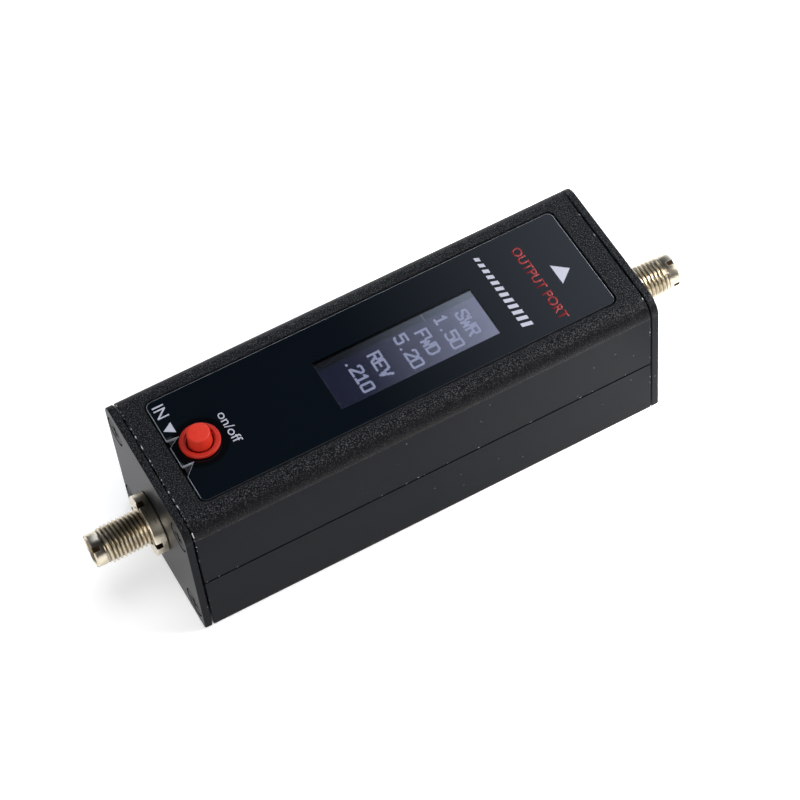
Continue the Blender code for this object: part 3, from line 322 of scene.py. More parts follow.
class MeterDisplaySettings(bpy.types.PropertyGroup):
    dot_pitch: size_property("Dot Pitch", 0.000225, "Distance between two dots of a row")
    dot_height: size_property("Dot Height", 0.00019, "Distance between two dots of a column")
    glow: colour_property("Dot Colour", "#B4BAD2", "Light of a lit dot")
    glow_strength: FloatProperty(name="Dot Strength", default=0.8, min=0.0,
                                 description="Brightness of a lit dot")
    # painted glow of the display glass
    spread: colour_property("Spread Light", "#203068", "Light of the dots that spreads in the glass")
    electrode: colour_property("Electrode", "#E0D8DE", "Metal layer behind the dots")


class MeterConnectorSettings(bpy.types.PropertyGroup):
    pitch: size_property("Thread Pitch", 0.0007056, "1/4-36 UNS thread")
    depth: size_property("Thread Depth", 0.00043, "Height of the thread")
    sides: IntProperty(name="Sides", default=64, min=16, description="Steps around the thread")
    steps: IntProperty(name="Steps", default=10, min=4, description="Rings for each turn")
    nickel: colour_property("Nickel", "#E4DCCD", "Nickel over brass, slightly warm")
    # painted shade: brown, in the thread roots, the nut notches and the tip slots
    hollow_shade: colour_property("Hollow Shade", "#54432F", "Darker metal in roots and notches")


class MeterButtonSettings(bpy.types.PropertyGroup):
    cap: colour_property("Cap", "#D03421", "Moulded cap")
    bezel: colour_property("Bezel", "#B02414", "Moulded bezel")
    edge_round: size_property("Edge Rounding", 0.00022, "Rounding of the moulded edges")


class MeterStageSettings(bpy.types.PropertyGroup):
    azimuth: FloatProperty(name="Azimuth", default=radians(-22.69), subtype='ANGLE',
                           description="Camera's angle round the meter")
    elevation: FloatProperty(name="Elevation", default=radians(55.13), subtype='ANGLE',
                             description="Camera's angle above the floor")
    roll: FloatProperty(name="Roll", default=radians(-7.01), subtype='ANGLE',
                        description="Turn of the camera about its own axis")
    distance: size_property("Distance", 0.49374, "Camera from the point that it looks at")
    target: FloatVectorProperty(name="Target", default=(0.00577, 0.00867, 0.0), unit='LENGTH',
                                description="Point on the floor that the camera looks at")
    lens: FloatProperty(name="Lens", default=131.94, min=1.0, description="Millimetres, 36 mm wide")
    floor: colour_property("Floor", "#F2F2F2", "Opal sheet of a light table")
    floor_glow: FloatProperty(name="Floor Glow", default=0.5, min=0.0,
                              description="Light that comes up through the opal sheet")
    floor_radius: size_property("Floor Radius", 4.0, "Round white floor")
    key_power: FloatProperty(name="Overhead Power", default=3.8, min=0.0, unit='POWER',
                             description="Softbox over the meter")
    front_power: FloatProperty(name="Front Power", default=5.4, min=0.0, unit='POWER',
                               description="Softbox in front of the long side")
    right_power: FloatProperty(name="Right Power", default=0.8, min=0.0, unit='POWER',
                               description="Small softbox close to the output end")


def arc(center, radius, start, end, steps=ARC_STEPS):
    """Points of a circular arc, both ends included."""
    turns = [start + (end - start) * i / steps for i in range(steps + 1)]
    return [(center[0] + radius * cos(t), center[1] + radius * sin(t)) for t in turns]


def rounded_rectangle(center, length, width, radius, steps=ARC_STEPS):
    """Outline of a rectangle with round corners, counter-clockwise."""
    half = (length / 2 - radius, width / 2 - radius)
    outline = []
    for sx, sy, start in ((1, 1, 0.0), (-1, 1, pi / 2), (-1, -1, pi), (1, -1, 3 * pi / 2)):
        middle = (center[0] + sx * half[0], center[1] + sy * half[1])
        outline += arc(middle, radius, start, start + pi / 2, steps)
    return outline


def filleted(corners, steps=FILLET_STEPS):
    """Points of a profile whose (a, b, radius) corners are rounded by arcs."""
    points = []
    for i, (a, b, radius) in enumerate(corners):
        here = Vector((a, b))
        if not radius:
            points.append((a, b))
            continue
        last = (Vector(corners[i - 1][:2]) - here).normalized()
        following = (Vector(corners[(i + 1) % len(corners)][:2]) - here).normalized()
        half = last.angle(following) / 2
        middle = here + (last + following).normalized() * (radius / sin(half))
        start = here + last * (radius / tan(half)) - middle
        end = here + following * (radius / tan(half)) - middle
        first = atan2(start.y, start.x)
        turn = (atan2(end.y, end.x) - first + pi) % tau - pi
        points += arc(middle, radius, first, first + turn, steps)
    return points


def loft(name, rings, closed=False):
    """Mesh through rings of points; the ends are capped unless the last meets the first."""
    bm = bmesh.new()
    verts = [[bm.verts.new(point) for point in ring] for ring in rings]
    pairs = list(zip(verts, verts[1:]))
    if closed:
        pairs.append((verts[-1], verts[0]))
    for low, high in pairs:
        for i in range(len(low)):
            j = (i + 1) % len(low)
            bm.faces.new((low[i], low[j], high[j], high[i]))
    if not closed:
        bm.faces.new(verts[0])
        bm.faces.new(verts[-1])
    bmesh.ops.recalc_face_normals(bm, faces=bm.faces)
    mesh = bpy.data.meshes.new(name)
    bm.to_mesh(mesh)
    bm.free()
    return mesh


def prism(name, outline, low, high, axis="z"):
    """Mesh of an outline extruded along an axis; its points are in the other two, in order."""
    places = {"x": lambda p, t: (t, p[0], p[1]), "z": lambda p, t: (p[0], p[1], t)}
    return loft(name, [[Vector(places[axis](p, t)) for p in outline] for t in (low, high)])


def box(name, low, high):
    """Mesh of a box between two corners."""
    outline = ((low[0], low[1]), (high[0], low[1]), (high[0], high[1]), (low[0], high[1]))
    return prism(name, outline, low[2], high[2])


def turned(name, profile, sides, axis, center, closed=True):
    """Mesh of (radius, height) points turned about an X or Z axis through a center."""
    rings = []
    for radius, height in profile:
        ring = []
        for i in range(sides):
            a = radius * cos(tau * i / sides)
            b = radius * sin(tau * i / sides)
            if axis == "z":
                ring.append(Vector((center[0] + a, center[1] + b, height)))
            else:
                ring.append(Vector((height, center[0] + a, center[1] + b)))
        rings.append(ring)
    return loft(name, rings, closed)


def place(name, mesh, *materials):
    """Put a mesh in the scene."""
    piece = bpy.data.objects.new(name, mesh)
    bpy.context.scene.collection.objects.link(piece)
    for mat in materials:
        mesh.materials.append(mat)
    return piece


def settle(piece):
    """Apply a piece's modifiers."""
    graph = bpy.context.evaluated_depsgraph_get()
    mesh = bpy.data.meshes.new_from_object(piece.evaluated_get(graph))
    piece.modifiers.clear()
    piece.data = mesh
    return piece


def round_edges(piece, width):
    """Break the sharp edges of a piece."""
    modifier = piece.modifiers.new("edges", 'BEVEL')
    modifier.width = width
    modifier.segments = EDGE_STEPS
    modifier.limit_method = 'ANGLE'
    modifier.angle_limit = SHARP_ANGLE
    return settle(piece)


def combine(piece, meshes, operation='DIFFERENCE'):
    """Cut meshes from a piece, or join them on."""
    for mesh in meshes:
        other = place(mesh.name, mesh)
        modifier = piece.modifiers.new(mesh.name, 'BOOLEAN')
        modifier.operation = operation
        modifier.solver = 'EXACT'
        modifier.object = other
        settle(piece)
        bpy.data.objects.remove(other)
    return piece


def finish_piece(piece, slot, *nodes, body="case"):
    """Even out the shading, tie the piece to its body and hide the nodes that it stands in for."""
    piece.data.shade_smooth()
    piece.data.set_sharp_from_angle(angle=SHARP_ANGLE)
    modifier = piece.modifiers.new("shading", 'WEIGHTED_NORMAL')
    modifier.keep_sharp = True
    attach(piece, body)
    if nodes:
        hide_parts(*nodes)


def add_node(tree, kind, inputs=None, **settings):
    """Add a shader node with its settings; an input is a value or another node's output."""
    node = tree.nodes.new(f"ShaderNode{kind}")
    for key, value in settings.items():
        setattr(node, key, value)
    for key, value in (inputs or {}).items():
        if isinstance(value, bpy.types.NodeSocket):
            tree.links.new(value, node.inputs[key])
        else:
            node.inputs[key].default_value = value
    return node


def new_material(name, values):
    """A material, its node tree and its Principled shader with the values given."""
    mat = bpy.data.materials.new(name)
    mat.use_nodes = True
    shader = mat.node_tree.nodes["Principled BSDF"]
    for key, value in values.items():
        shader.inputs[key].default_value = value
    return mat, mat.node_tree, shader


def shaded_point(tree):
    """The point being shaded, in metres, and its X, Y and Z."""
    point = add_node(tree, "TexCoord").outputs["Object"]
    return point, add_node(tree, "SeparateXYZ", {0: point}).outputs


def grain(tree, size, detail=2.0, stretch=(1.0, 1.0, 1.0)):
    """Noise with features of a real size, in metres; a stretch below 1 lengthens them along
    that axis."""
    point = add_node(tree, "TexCoord").outputs["Object"]
    scale = add_node(tree, "Mapping", {"Vector": point, "Scale": stretch})
    noise = add_node(tree, "TexNoise", {"Vector": scale.outputs[0], "Scale": 1 / size, "Detail": detail})
    return noise.outputs["Fac"]


def specks(tree, size, share):
    """Sparse flecks of a real size: one where a cell's random number is in the top share."""
    point = add_node(tree, "TexCoord").outputs["Object"]
    cells = add_node(tree, "TexVoronoi", {"Vector": point, "Scale": 1 / size})
    chosen = add_node(tree, "SeparateColor", {"Color": cells.outputs["Color"]})
    return add_node(tree, "Math", {0: chosen.outputs[0], 1: 1 - share},
                    operation='GREATER_THAN').outputs[0]


def near_level(tree, axis, level, reach, both_ways=False):
    """1 within reach of a level on X, Y or Z, also of its mirror image if asked."""
    value = shaded_point(tree)[1][axis]
    if both_ways:
        value = add_node(tree, "Math", {0: value}, operation='ABSOLUTE').outputs[0]
    return add_node(tree, "Math", {0: value, 1: level, 2: reach}, operation='COMPARE').outputs[0]


def layered(tree, colour, *coats):
    """Colour under coats; each coat is a pattern and the colour that shows where it is 1."""
    for pattern, coat in coats:
        colour = add_node(tree, "Mix", {0: pattern, 6: colour, 7: coat}, data_type='RGBA').outputs[2]
    return colour


def dress(tree, shader, colour, relief=None, depth=0.0, strength=0.0):
    """Give a shader its colour, and relief of a real depth if there is a pattern for it."""
    tree.links.new(colour, shader.inputs["Base Color"])
    if relief is not None:
        bump = add_node(tree, "Bump", {"Height": relief, "Distance": depth, "Strength": strength})
        tree.links.new(bump.outputs[0], shader.inputs["Normal"])


def plain_finish(name, values, colours, size, detail=2.0, stretch=(1.0, 1.0, 1.0), depth=0.0,
                 strength=0.2):
    """Finish that varies between two colours over a real size, with relief if it has depth."""
    mat, tree, shader = new_material(name, values)
    pattern = grain(tree, size, detail, stretch)
    colour = layered(tree, colours[0], (pattern, colours[1]))
    dress(tree, shader, colour, pattern if depth else None, depth, strength)
    return mat


def worn_seams(tree, settings):
    """Chips of bare metal where sawn edges meet: many along the top of the input end, a few
    elsewhere."""
    height = shaded_point(tree)[1]["Z"]
    border = CASE_TOP - settings.top_radius
    chips = grain(tree, CHIP_SIZE, 3.0)
    many, few = [add_node(tree, "Math", {0: chips, 1: level}, operation='GREATER_THAN').outputs[0]
                 for level in CHIP_LEVELS]
    on_top = add_node(tree, "Math", {0: height, 1: border}, operation='GREATER_THAN').outputs[0]
    near_end = near_level(tree, "X", -CASE_END, SEAM_REACH)
    top_seam = add_node(tree, "Math", {0: near_end, 1: on_top}, operation='MULTIPLY').outputs[0]
    ends = add_node(tree, "Math", {0: top_seam, 1: many}, operation='MULTIPLY').outputs[0]
    split = near_level(tree, "Z", SPLIT_RIM, SPLIT_REACH)
    seam = near_level(tree, "X", CASE_END, SEAM_REACH, both_ways=True)
    joints = add_node(tree, "Math", {0: split, 1: seam}, operation='MAXIMUM').outputs[0]
    sides = add_node(tree, "Math", {0: joints, 1: few}, operation='MULTIPLY').outputs[0]
    return add_node(tree, "Math", {0: ends, 1: sides}, operation='MAXIMUM').outputs[0]


def blasted_aluminium(settings):
    """Aluminium blasted with coarse grit and dyed black: deep black with a dense grey sparkle, painted
    lighter on the flat top than round the edges as a painted sheen of the overhead light. The grain is
    drawn about twice as coarse as the grit, so that it shows."""
    mat, tree, shader = new_material("blasted_aluminium",
                                     {"Roughness": 0.46, "IOR": 1.36, "Specular IOR Level": 0.2})
    height = shaded_point(tree)[1]["Z"]
    # flat is 1 on the flat top, where the crests take a painted sheen in place of the overhead light
    flat = add_node(tree, "MapRange",
                    {0: height, 1: CASE_TOP - settings.top_radius / 3, 2: CASE_TOP}).outputs[0]
    pits = grain(tree, settings.grit, 1.0)
    crests = add_node(tree, "MapRange", {0: pits, 1: 0.50, 2: 0.72}).outputs[0]
    # painted sheen: lighter grey crests on the flat top
    sheen_grey = layered(tree, linear("#252628"), (flat, linear("#4A4C50")))
    colour = layered(tree, settings.blasted, (crests, sheen_grey), (worn_seams(tree, settings), settings.bare))
    dress(tree, shader, colour, pits, settings.grit / 2, 0.8)
    return mat


def satin_aluminium(settings):
    """Extruded aluminium, dyed black: smooth and faintly blue, with a little dust."""
    mat, tree, shader = new_material("satin_aluminium",
                                     {"Roughness": 0.26, "IOR": 1.36, "Specular IOR Level": 0.07})
    dust = specks(tree, settings.grit, DUST_SHARE)
    colour = layered(tree, settings.satin, (dust, linear("#55575C")),
                     (worn_seams(tree, settings), settings.bare))
    drawn = grain(tree, settings.grit, 2.0, stretch=(0.05, 1.0, 1.0))
    dress(tree, shader, colour, drawn, FINE_RELIEF, 0.15)
    return mat


def satin_anodised_plate(settings):
    """Sheared aluminium plate, dyed black: smooth, with a faint rolling grain."""
    return plain_finish("satin_anodised_plate",
                        {"Roughness": 0.36, "IOR": 1.36, "Specular IOR Level": 0.12},
                        (settings.satin, linear("#202124")), size=PLATE_GRAIN, stretch=(1.0, 1.0, 0.08),
                        depth=2 * FINE_RELIEF, strength=0.25)


def black_zinc_steel():
    """Screw steel under black zinc: semi-gloss, faintly mottled."""
    return plain_finish("black_zinc_steel", {"Roughness": 0.55, "Metallic": 0.7},
                        (linear("#0C0C0E"), linear("#1A1A1D")), size=0.0005,
                        depth=3 * FINE_RELIEF, strength=0.3)


def nickel_plated_brass(settings):
    """Turned brass under thin nickel: bright, warm where the plating is thin, with a brown painted shade
    in the thread roots.
    The turning lines are drawn coarser than the feed of the lathe, so that they show."""
    mat, tree, shader = new_material("nickel_plated_brass", {"Metallic": 1.0})
    parts = shaded_point(tree)[1]
    drop = add_node(tree, "Math", {0: parts["Z"], 1: AXIS_HEIGHT}, operation='SUBTRACT').outputs[0]
    flat = add_node(tree, "CombineXYZ", {0: parts["Y"], 1: drop}).outputs[0]
    radius = add_node(tree, "VectorMath", {0: flat}, operation='LENGTH').outputs["Value"]
    root = THREAD_RADIUS - settings.depth
    # painted shade: the thread roots darken towards the root
    deep = add_node(tree, "MapRange",
                    {0: radius, 1: root + settings.depth / 2, 2: root, 3: 0.0, 4: 0.8}).outputs[0]
    reach = add_node(tree, "Math", {0: parts["X"]}, operation='ABSOLUTE').outputs[0]
    behind = add_node(tree, "Math", {0: reach, 1: TIP_END - TIP_LENGTH}, operation='LESS_THAN').outputs[0]
    roots = add_node(tree, "Math", {0: deep, 1: behind}, operation='MULTIPLY').outputs[0]
    patch = grain(tree, PLATING_PATCH, 3.0)
    colour = layered(tree, settings.nickel, (patch, linear("#CEC0A4")), (roots, settings.hollow_shade))
    lines = grain(tree, TURNING_LINE, 1.0, stretch=(1.0, 0.05, 0.05))
    rough = add_node(tree, "MapRange", {0: lines, 3: 0.23, 4: 0.38}).outputs[0]
    tree.links.new(rough, shader.inputs["Roughness"])
    dress(tree, shader, colour, lines, FINE_RELIEF, 0.2)
    return mat


def hollow_shade_brass(settings):
    """Painted shade for the milled notches of the nuts and the slots of the tips: dull brown."""
    return plain_finish("hollow_shade_brass", {"Roughness": 0.5, "Metallic": 1.0},
                        (settings.hollow_shade, linear("#3A2F22")), size=0.0004)


def gold_plated_contact():
    """Beryllium copper under gold: bright, with a soft turned finish."""
    return plain_finish("gold_plated_contact", {"Roughness": 0.24, "Metallic": 1.0},
                        (linear("#E6BE62"), linear("#C99A3C")), size=0.00012, detail=1.0,
                        stretch=(1.0, 0.1, 0.1))


def moulded_plastic(name, hex_colour, shade, roughness):
    """Injection-moulded plastic: even colour, fine spark-eroded skin."""
    return plain_finish(name, {"Roughness": roughness, "IOR": 1.46},
                        (linear(hex_colour), linear(shade)), size=MOULD_SKIN, detail=3.0,
                        depth=2 * FINE_RELIEF)


def moulded_red_abs(name, colour, shade):
    """Moulded ABS: saturated red with a soft gloss and a little light under the skin."""
    values = {"Roughness": 0.5, "IOR": 1.5, "Specular IOR Level": 0.3, "Subsurface Weight": 0.08,
              "Subsurface Radius": (0.0010, 0.0003, 0.0002), "Subsurface Scale": 1.0}
    return plain_finish(name, values, (colour, linear(shade)), size=0.0005, detail=3.0,
                        depth=2 * FINE_RELIEF, strength=0.15)


def back_printed_acrylic(settings):
    """Clear acrylic with black print behind it: mirror-like, blue-black. A blacker ring lies
    round the button, and beside it at the edge the print carries a grey painted sheen."""
    mat, tree, shader = new_material("back_printed_acrylic", {"Roughness": 0.05, "IOR": 1.49})
    point, parts = shaded_point(tree)
    away = add_node(tree, "VectorMath", {0: point, 1: (BUTTON_X, BUTTON_Y, PANEL_HIGH.z)},
                    operation='DISTANCE').outputs["Value"]
    ring = add_node(tree, "MapRange", {0: away, 1: RING_RADIUS, 2: RING_RADIUS + RING_BLUR}).outputs[0]
    edge = add_node(tree, "MapRange", {0: parts["X"], 1: PANEL_LOW.x + EDGE_SHEEN[1],
                                       2: PANEL_LOW.x + EDGE_SHEEN[0]}).outputs[0]
    middle = add_node(tree, "Math", {0: parts["Y"], 1: BUTTON_Y, 2: EDGE_SHEEN_REACH},
                      operation='COMPARE').outputs[0]
    # painted sheen: grey, at the -X end beside the button
    thin = add_node(tree, "Math", {0: edge, 1: middle}, operation='MULTIPLY').outputs[0]
    print_colour = layered(tree, settings.ink, (thin, linear("#2A2D31")))
    colour = layered(tree, linear("#050608"), (ring, print_colour))
    dress(tree, shader, colour, grain(tree, ORANGE_PEEL, 1.0), 2 * FINE_RELIEF, 0.05)
    return mat


def clear_acrylic():
    """Clear acrylic over the display window: water-clear, with the faintest haze."""
    return plain_finish("clear_acrylic", {"Roughness": 0.04, "IOR": 1.49, "Transmission Weight": 1.0},
                        (linear("#F2F4FA"), linear("#E4E8F2")), size=0.003)


def cut_acrylic_edge(settings):
    """Laser-cut edge of the clear sheet: it gathers light and looks pale, less so in front."""
    mat, tree, shader = new_material("cut_acrylic_edge", {"Roughness": 0.3, "IOR": 1.49})
    streaks = grain(tree, EDGE_STREAK)
    front = near_level(tree, "Y", PANEL_LOW.y, FRONT_EDGE_REACH)
    dress(tree, shader, layered(tree, settings.cut_edge, (streaks, linear("#5E636B")),
                                (front, linear("#24262A"))))
    return mat


def screen_ink(name, colour, shade):
    """Screen-printed ink: matt, slightly uneven."""
    return plain_finish(name, {"Roughness": 0.5, "IOR": 1.48}, (colour, linear(shade)), size=0.0003)


def display_electrode(settings):
    """Cover glass over the metal layer of the display: a dim lavender mirror. The strip beside
    the dots has no metal and is darker, with one fine line across it."""
    mat, tree, shader = new_material("display_electrode", {"Roughness": 0.06, "Metallic": 1.0,
                                                           "Emission Strength": 0.11})
    across = shaded_point(tree)[1]["Y"]
    strip = add_node(tree, "MapRange",
                     {0: across, 1: STRIP_START, 2: STRIP_START + STRIP_BLUR}).outputs[0]
    cloud = grain(tree, GLASS_CLOUD)
    seam = near_level(tree, "X", STRIP_LINE, STRIP_LINE_REACH)
    line = add_node(tree, "Math", {0: seam, 1: strip}, operation='MULTIPLY').outputs[0]
    dress(tree, shader, layered(tree, settings.electrode, (cloud, linear("#D2CCD4")),
                                (strip, linear("#C4C6C6")), (line, linear("#FFFFFF"))))
    border = near_level(tree, "X", WINDOW[0][0] + WINDOW_BORDER, WINDOW_BORDER_REACH)
    # the glass's emission is a painted glow: none on the strip, brighter in a line near the window's -X
    # edge
    spread = layered(tree, settings.spread, (strip, linear("#000000")), (border, linear("#6C7080")))
    tree.links.new(spread, shader.inputs["Emission Color"])
    return mat


def lit_dots(settings):
    """Organic light-emitting dots: pale blue-white, with no gloss of their own."""
    mat, tree, shader = new_material("lit_dots", {"Base Color": linear("#101018"), "Roughness": 0.6,
                                                  "IOR": 1.5, "Emission Strength": settings.glow_strength})
    uneven = grain(tree, DOT_PATCH, 1.0)
    glow = layered(tree, settings.glow, (uneven, linear("#A4AAC8")))
    tree.links.new(glow, shader.inputs["Emission Color"])
    return mat


def adhesive_sheet():
    """Black foam tape under the panel; the blasted floor shows grey at the notches."""
    mat, tree, shader = new_material("adhesive_sheet", {"Roughness": 0.7, "IOR": 1.5})
    cells = grain(tree, FOAM_CELL, 3.0)
    foam = layered(tree, linear("#060607"), (cells, linear("#141416")))
    floor = layered(tree, linear("#121214"), (cells, linear("#303134")))
    bare = add_node(tree, "MapRange", {0: shaded_point(tree)[1]["X"], 1: PANEL_LOW.x + BARE_FLOOR[1],
                                       2: PANEL_LOW.x + BARE_FLOOR[0]}).outputs[0]
    dress(tree, shader, layered(tree, foam, (bare, floor)), cells, 5 * FINE_RELIEF, 0.4)
    return mat


def tinned_steel():
    """Pressed steel under tin: grey, softly bright, faintly brushed."""
    return plain_finish("tinned_steel", {"Roughness": 0.3, "Metallic": 1.0},
                        (linear("#C9C9C6"), linear("#A9A9A6")), size=0.0002, stretch=(0.1, 1.0, 1.0),
                        depth=FINE_RELIEF)


def solder_mask():
    """Glass-epoxy board under green mask: glossy, with the glass weave just showing."""
    return plain_finish("solder_mask", {"Roughness": 0.3, "IOR": 1.5},
                        (linear("#14532B"), linear("#1B6A38")), size=0.0005, stretch=(1.0, 0.4, 1.0),
                        depth=2 * FINE_RELIEF)


def polyimide_film():
    """Amber film with its copper showing through: glossy, streaked along the tracks."""
    return plain_finish("polyimide_film", {"Roughness": 0.25, "IOR": 1.7},
                        (linear("#B5701C"), linear("#8A4E12")), size=0.0006, detail=0.0,
                        stretch=(0.05, 1.0, 1.0))


def grey_foam():
    """Open-cell foam: matt, pitted."""
    return plain_finish("grey_foam", {"Roughness": 0.95, "IOR": 1.5},
                        (linear("#3C3C3C"), linear("#6A6A6A")), size=FOAM_CELL, detail=4.0,
                        depth=10 * FINE_RELIEF, strength=0.6)


def laminated_pouch():
    """Heat-sealed aluminium laminate: grey, satin, slightly wrinkled."""
    return plain_finish("laminated_pouch", {"Roughness": 0.36, "Metallic": 0.8},
                        (linear("#B4B6BA"), linear("#9A9CA0")), size=0.004, detail=3.0,
                        depth=20 * FINE_RELIEF, strength=0.3)


def spring_steel():
    """Drawn wire and turned steel: grey, bright and dull by turns."""
    return plain_finish("spring_steel", {"Roughness": 0.28, "Metallic": 1.0},
                        (linear("#B9BABC"), linear("#8F9092")), size=0.0002)


def rolled_brass():
    """Stamped brass strip: yellow, faintly tarnished."""
    return plain_finish("rolled_brass", {"Roughness": 0.3, "Metallic": 1.0},
                        (linear("#D8B35C"), linear("#B58E3C")), size=0.0012, detail=3.0)


def opal_acrylic(settings):
    """Matt opal sheet of a light table, softly lit from below and more so before the far end."""
    mat, tree, shader = new_material("opal_acrylic", {"Roughness": 0.9, "IOR": 1.4})
    white = layered(tree, settings.floor, (grain(tree, SHEET_CLOUD), linear("#EFEFEF")))
    dress(tree, shader, white)
    tree.links.new(white, shader.inputs["Emission Color"])
    across = shaded_point(tree)[1]["X"]
    rise = add_node(tree, "MapRange", {0: across, 1: 0.0, 2: CASE_END, 3: settings.floor_glow,
                                       4: settings.floor_glow * 3}).outputs[0]
    fall = add_node(tree, "MapRange", {0: across, 1: PLATE_FACE, 2: TIP_END, 3: 1.0, 4: 1 / 3}).outputs[0]
    glow = add_node(tree, "Math", {0: rise, 1: fall}, operation='MULTIPLY').outputs[0]
    tree.links.new(glow, shader.inputs["Emission Strength"])
    return mat


def both_sides(half_outline):
    """Complete a (y, z) outline that runs from the middle, round +Y, to the middle."""
    return half_outline + [(-y, z) for y, z in reversed(half_outline) if y > 0]


def case_outline(settings, inset=0.0):
    """Outer section of the case, drawn in by an inset."""
    half = CASE_SIDE - inset
    base = settings.base_radius - inset
    top = settings.top_radius - inset
    right = [(0.0, inset)]
    right += arc((half - base, inset + base), base, -pi / 2, 0.0)
    right += arc((half - top, CASE_TOP - inset - top), top, 0.0, pi / 2)
    right += [(0.0, CASE_TOP - inset)]
    return both_sides(right)


def channel_places():
    """The four screw channels, as (y, z)."""
    across = CASE_SIDE - CHANNEL_SIDE_INSET
    levels = (CHANNEL_BASE_INSET, CASE_TOP - CHANNEL_TOP_INSET)
    return [(side * across, z) for z in levels for side in (-1, 1)]


def channel_cutters(places):
    """Round bores for the end screws, through the whole length."""
    reach = CASE_END + OVERRUN
    radius = SCREW_RADIUS + SEAT_GAP
    return [turned(f"channel_{i}", [(radius, -reach), (radius, reach)], CHANNEL_STEPS, "x", spot,
                   closed=False)
            for i, spot in enumerate(places)]


def button_hole(name, low, high, sides=SMALL_STEPS):
    """Clearance around the barrel of the button."""
    radius = BEZEL_BARREL + SEAT_GAP
    return turned(name, [(radius, low), (radius, high)], sides, "z", (BUTTON_X, BUTTON_Y), closed=False)


def glass_opening(name, low, high):
    """Clearance around the display glass."""
    return box(name, (GLASS_LOW.x - SEAT_GAP, GLASS_LOW.y - SEAT_GAP, low),
               (GLASS_HIGH.x + SEAT_GAP, GLASS_HIGH.y + SEAT_GAP, high))


def socket_cutter(name):
    """Clearance around the charging socket, open past the end of the case."""
    return box(name, SOCKET_LOW - Vector([SEAT_GAP] * 3),
               (SOCKET_HIGH.x + OVERRUN, SOCKET_HIGH.y + SEAT_GAP, SOCKET_HIGH.z + SEAT_GAP))


def upper_shell(settings, mats):
    """Inverted U with two screw channels, a panel recess and two openings."""
    across = CASE_SIDE - CHANNEL_SIDE_INSET
    level = CASE_TOP - CHANNEL_TOP_INSET
    ceiling = CASE_TOP - TOP_WALL
    inner = CASE_SIDE - SIDE_WALL
    at_ceiling = asin((ceiling - level) / CHANNEL_RADIUS)
    at_wall = acos((inner - across) / CHANNEL_RADIUS)
    radius = settings.top_radius
    right = [(0.0, ceiling)]
    right += arc((across, level), CHANNEL_RADIUS, pi - at_ceiling, tau - at_wall)
    right += [(inner, SPLIT_RIM), (CASE_SIDE, SPLIT_RIM)]
    right += arc((CASE_SIDE - radius, CASE_TOP - radius), radius, 0.0, pi / 2)
    right += [(0.0, CASE_TOP)]
    mesh = prism("upper_case", both_sides(right), -CASE_END, CASE_END, "x")
    piece = round_edges(place("upper_case", mesh, *mats), settings.edge_break)

    above = CASE_TOP + OVERRUN
    length = PANEL_HIGH.x - PANEL_LOW.x + 2 * RECESS_MARGIN
    width = PANEL_HIGH.y - PANEL_LOW.y + 2 * RECESS_MARGIN
    middle = ((PANEL_LOW.x + PANEL_HIGH.x) / 2, (PANEL_LOW.y + PANEL_HIGH.y) / 2)
    recess = rounded_rectangle(middle, length, width, RECESS_CORNER)
    combine(piece, [
        prism("panel_recess", recess, SHEET_LOW.z - SEAT_GAP, above),
        glass_opening("display_opening", ceiling - OVERRUN, above),
        button_hole("button_hole", ceiling - OVERRUN, above),
        *channel_cutters(channel_places()[2:]),
    ])
    for polygon in piece.data.polygons:
        polygon.material_index = 0 if polygon.center.z > CASE_TOP - settings.top_radius else 1
    finish_piece(piece, "case", "upper_shell")


def lower_shell(settings, mat):
    """U with two screw channels, a lip inside the joint and rails for the board."""
    across = CASE_SIDE - CHANNEL_SIDE_INSET
    inner = CASE_SIDE - SIDE_WALL
    at_wall = acos((inner - across) / CHANNEL_RADIUS)
    at_floor = asin((CHANNEL_BASE_INSET - FLOOR_WALL) / CHANNEL_RADIUS)
    lip_outer = inner - SEAT_GAP
    lip_inner = lip_outer - LIP_THICKNESS
    rail = lip_inner - RAIL_DEPTH
    rail_top = BOARD_SEAT + RAIL_THICKNESS
    rail_base = BOARD_UNDER - RAIL_THICKNESS
    rim = SPLIT_RIM - SEAT_GAP
    radius = settings.base_radius
    right = [(0.0, 0.0)]
    right += arc((CASE_SIDE - radius, radius), radius, -pi / 2, 0.0)
    right += [(CASE_SIDE, rim), (lip_outer, rim), (lip_outer, rail_top + LIP_MARGIN),
              (lip_inner, rail_top + LIP_MARGIN), (lip_inner, rail_top), (rail, rail_top),
              (rail, BOARD_SEAT), (lip_inner, BOARD_SEAT), (lip_inner, BOARD_UNDER),
              (rail, BOARD_UNDER), (rail, rail_base), (lip_inner, rail_base),
              (lip_inner, rail_base - LIP_MARGIN), (inner, rail_base - LIP_MARGIN)]
    right += arc((across, CHANNEL_BASE_INSET), CHANNEL_RADIUS, at_wall, pi + at_floor)
    right += [(0.0, FLOOR_WALL)]
    mesh = prism("lower_case", both_sides(right), -CASE_END, CASE_END, "x")
    piece = round_edges(place("lower_case", mesh, mat), settings.edge_break)
    combine(piece, [*channel_cutters(channel_places()[:2]), socket_cutter("charge_opening")])
    finish_piece(piece, "case", "lower_shell")


def screw_profile(side, clearance=0.0):
    """(radius, x) points of a countersunk screw, or of its hole with a clearance."""
    face = PLATE_FACE - FLUSH_GAP
    head = SCREW_HEAD_RADIUS + clearance
    shank = SCREW_RADIUS + clearance
    rim = face - SCREW_HEAD_RIM
    neck = rim - (SCREW_HEAD_RADIUS - SCREW_RADIUS)
    if clearance:
        points = [(head, PLATE_FACE + OVERRUN), (head, rim), (shank, neck),
                  (shank, PLATE_INNER - OVERRUN)]
    else:
        end = face - SCREW_LENGTH
        edge = SCREW_HEAD_RIM / 2
        points = [(head - edge, face), (head, face - edge), (head, rim), (shank, neck),
                  (shank, end + SCREW_POINT), (SCREW_TIP_RADIUS, end)]
    return [(radius, side * x) for radius, x in points]


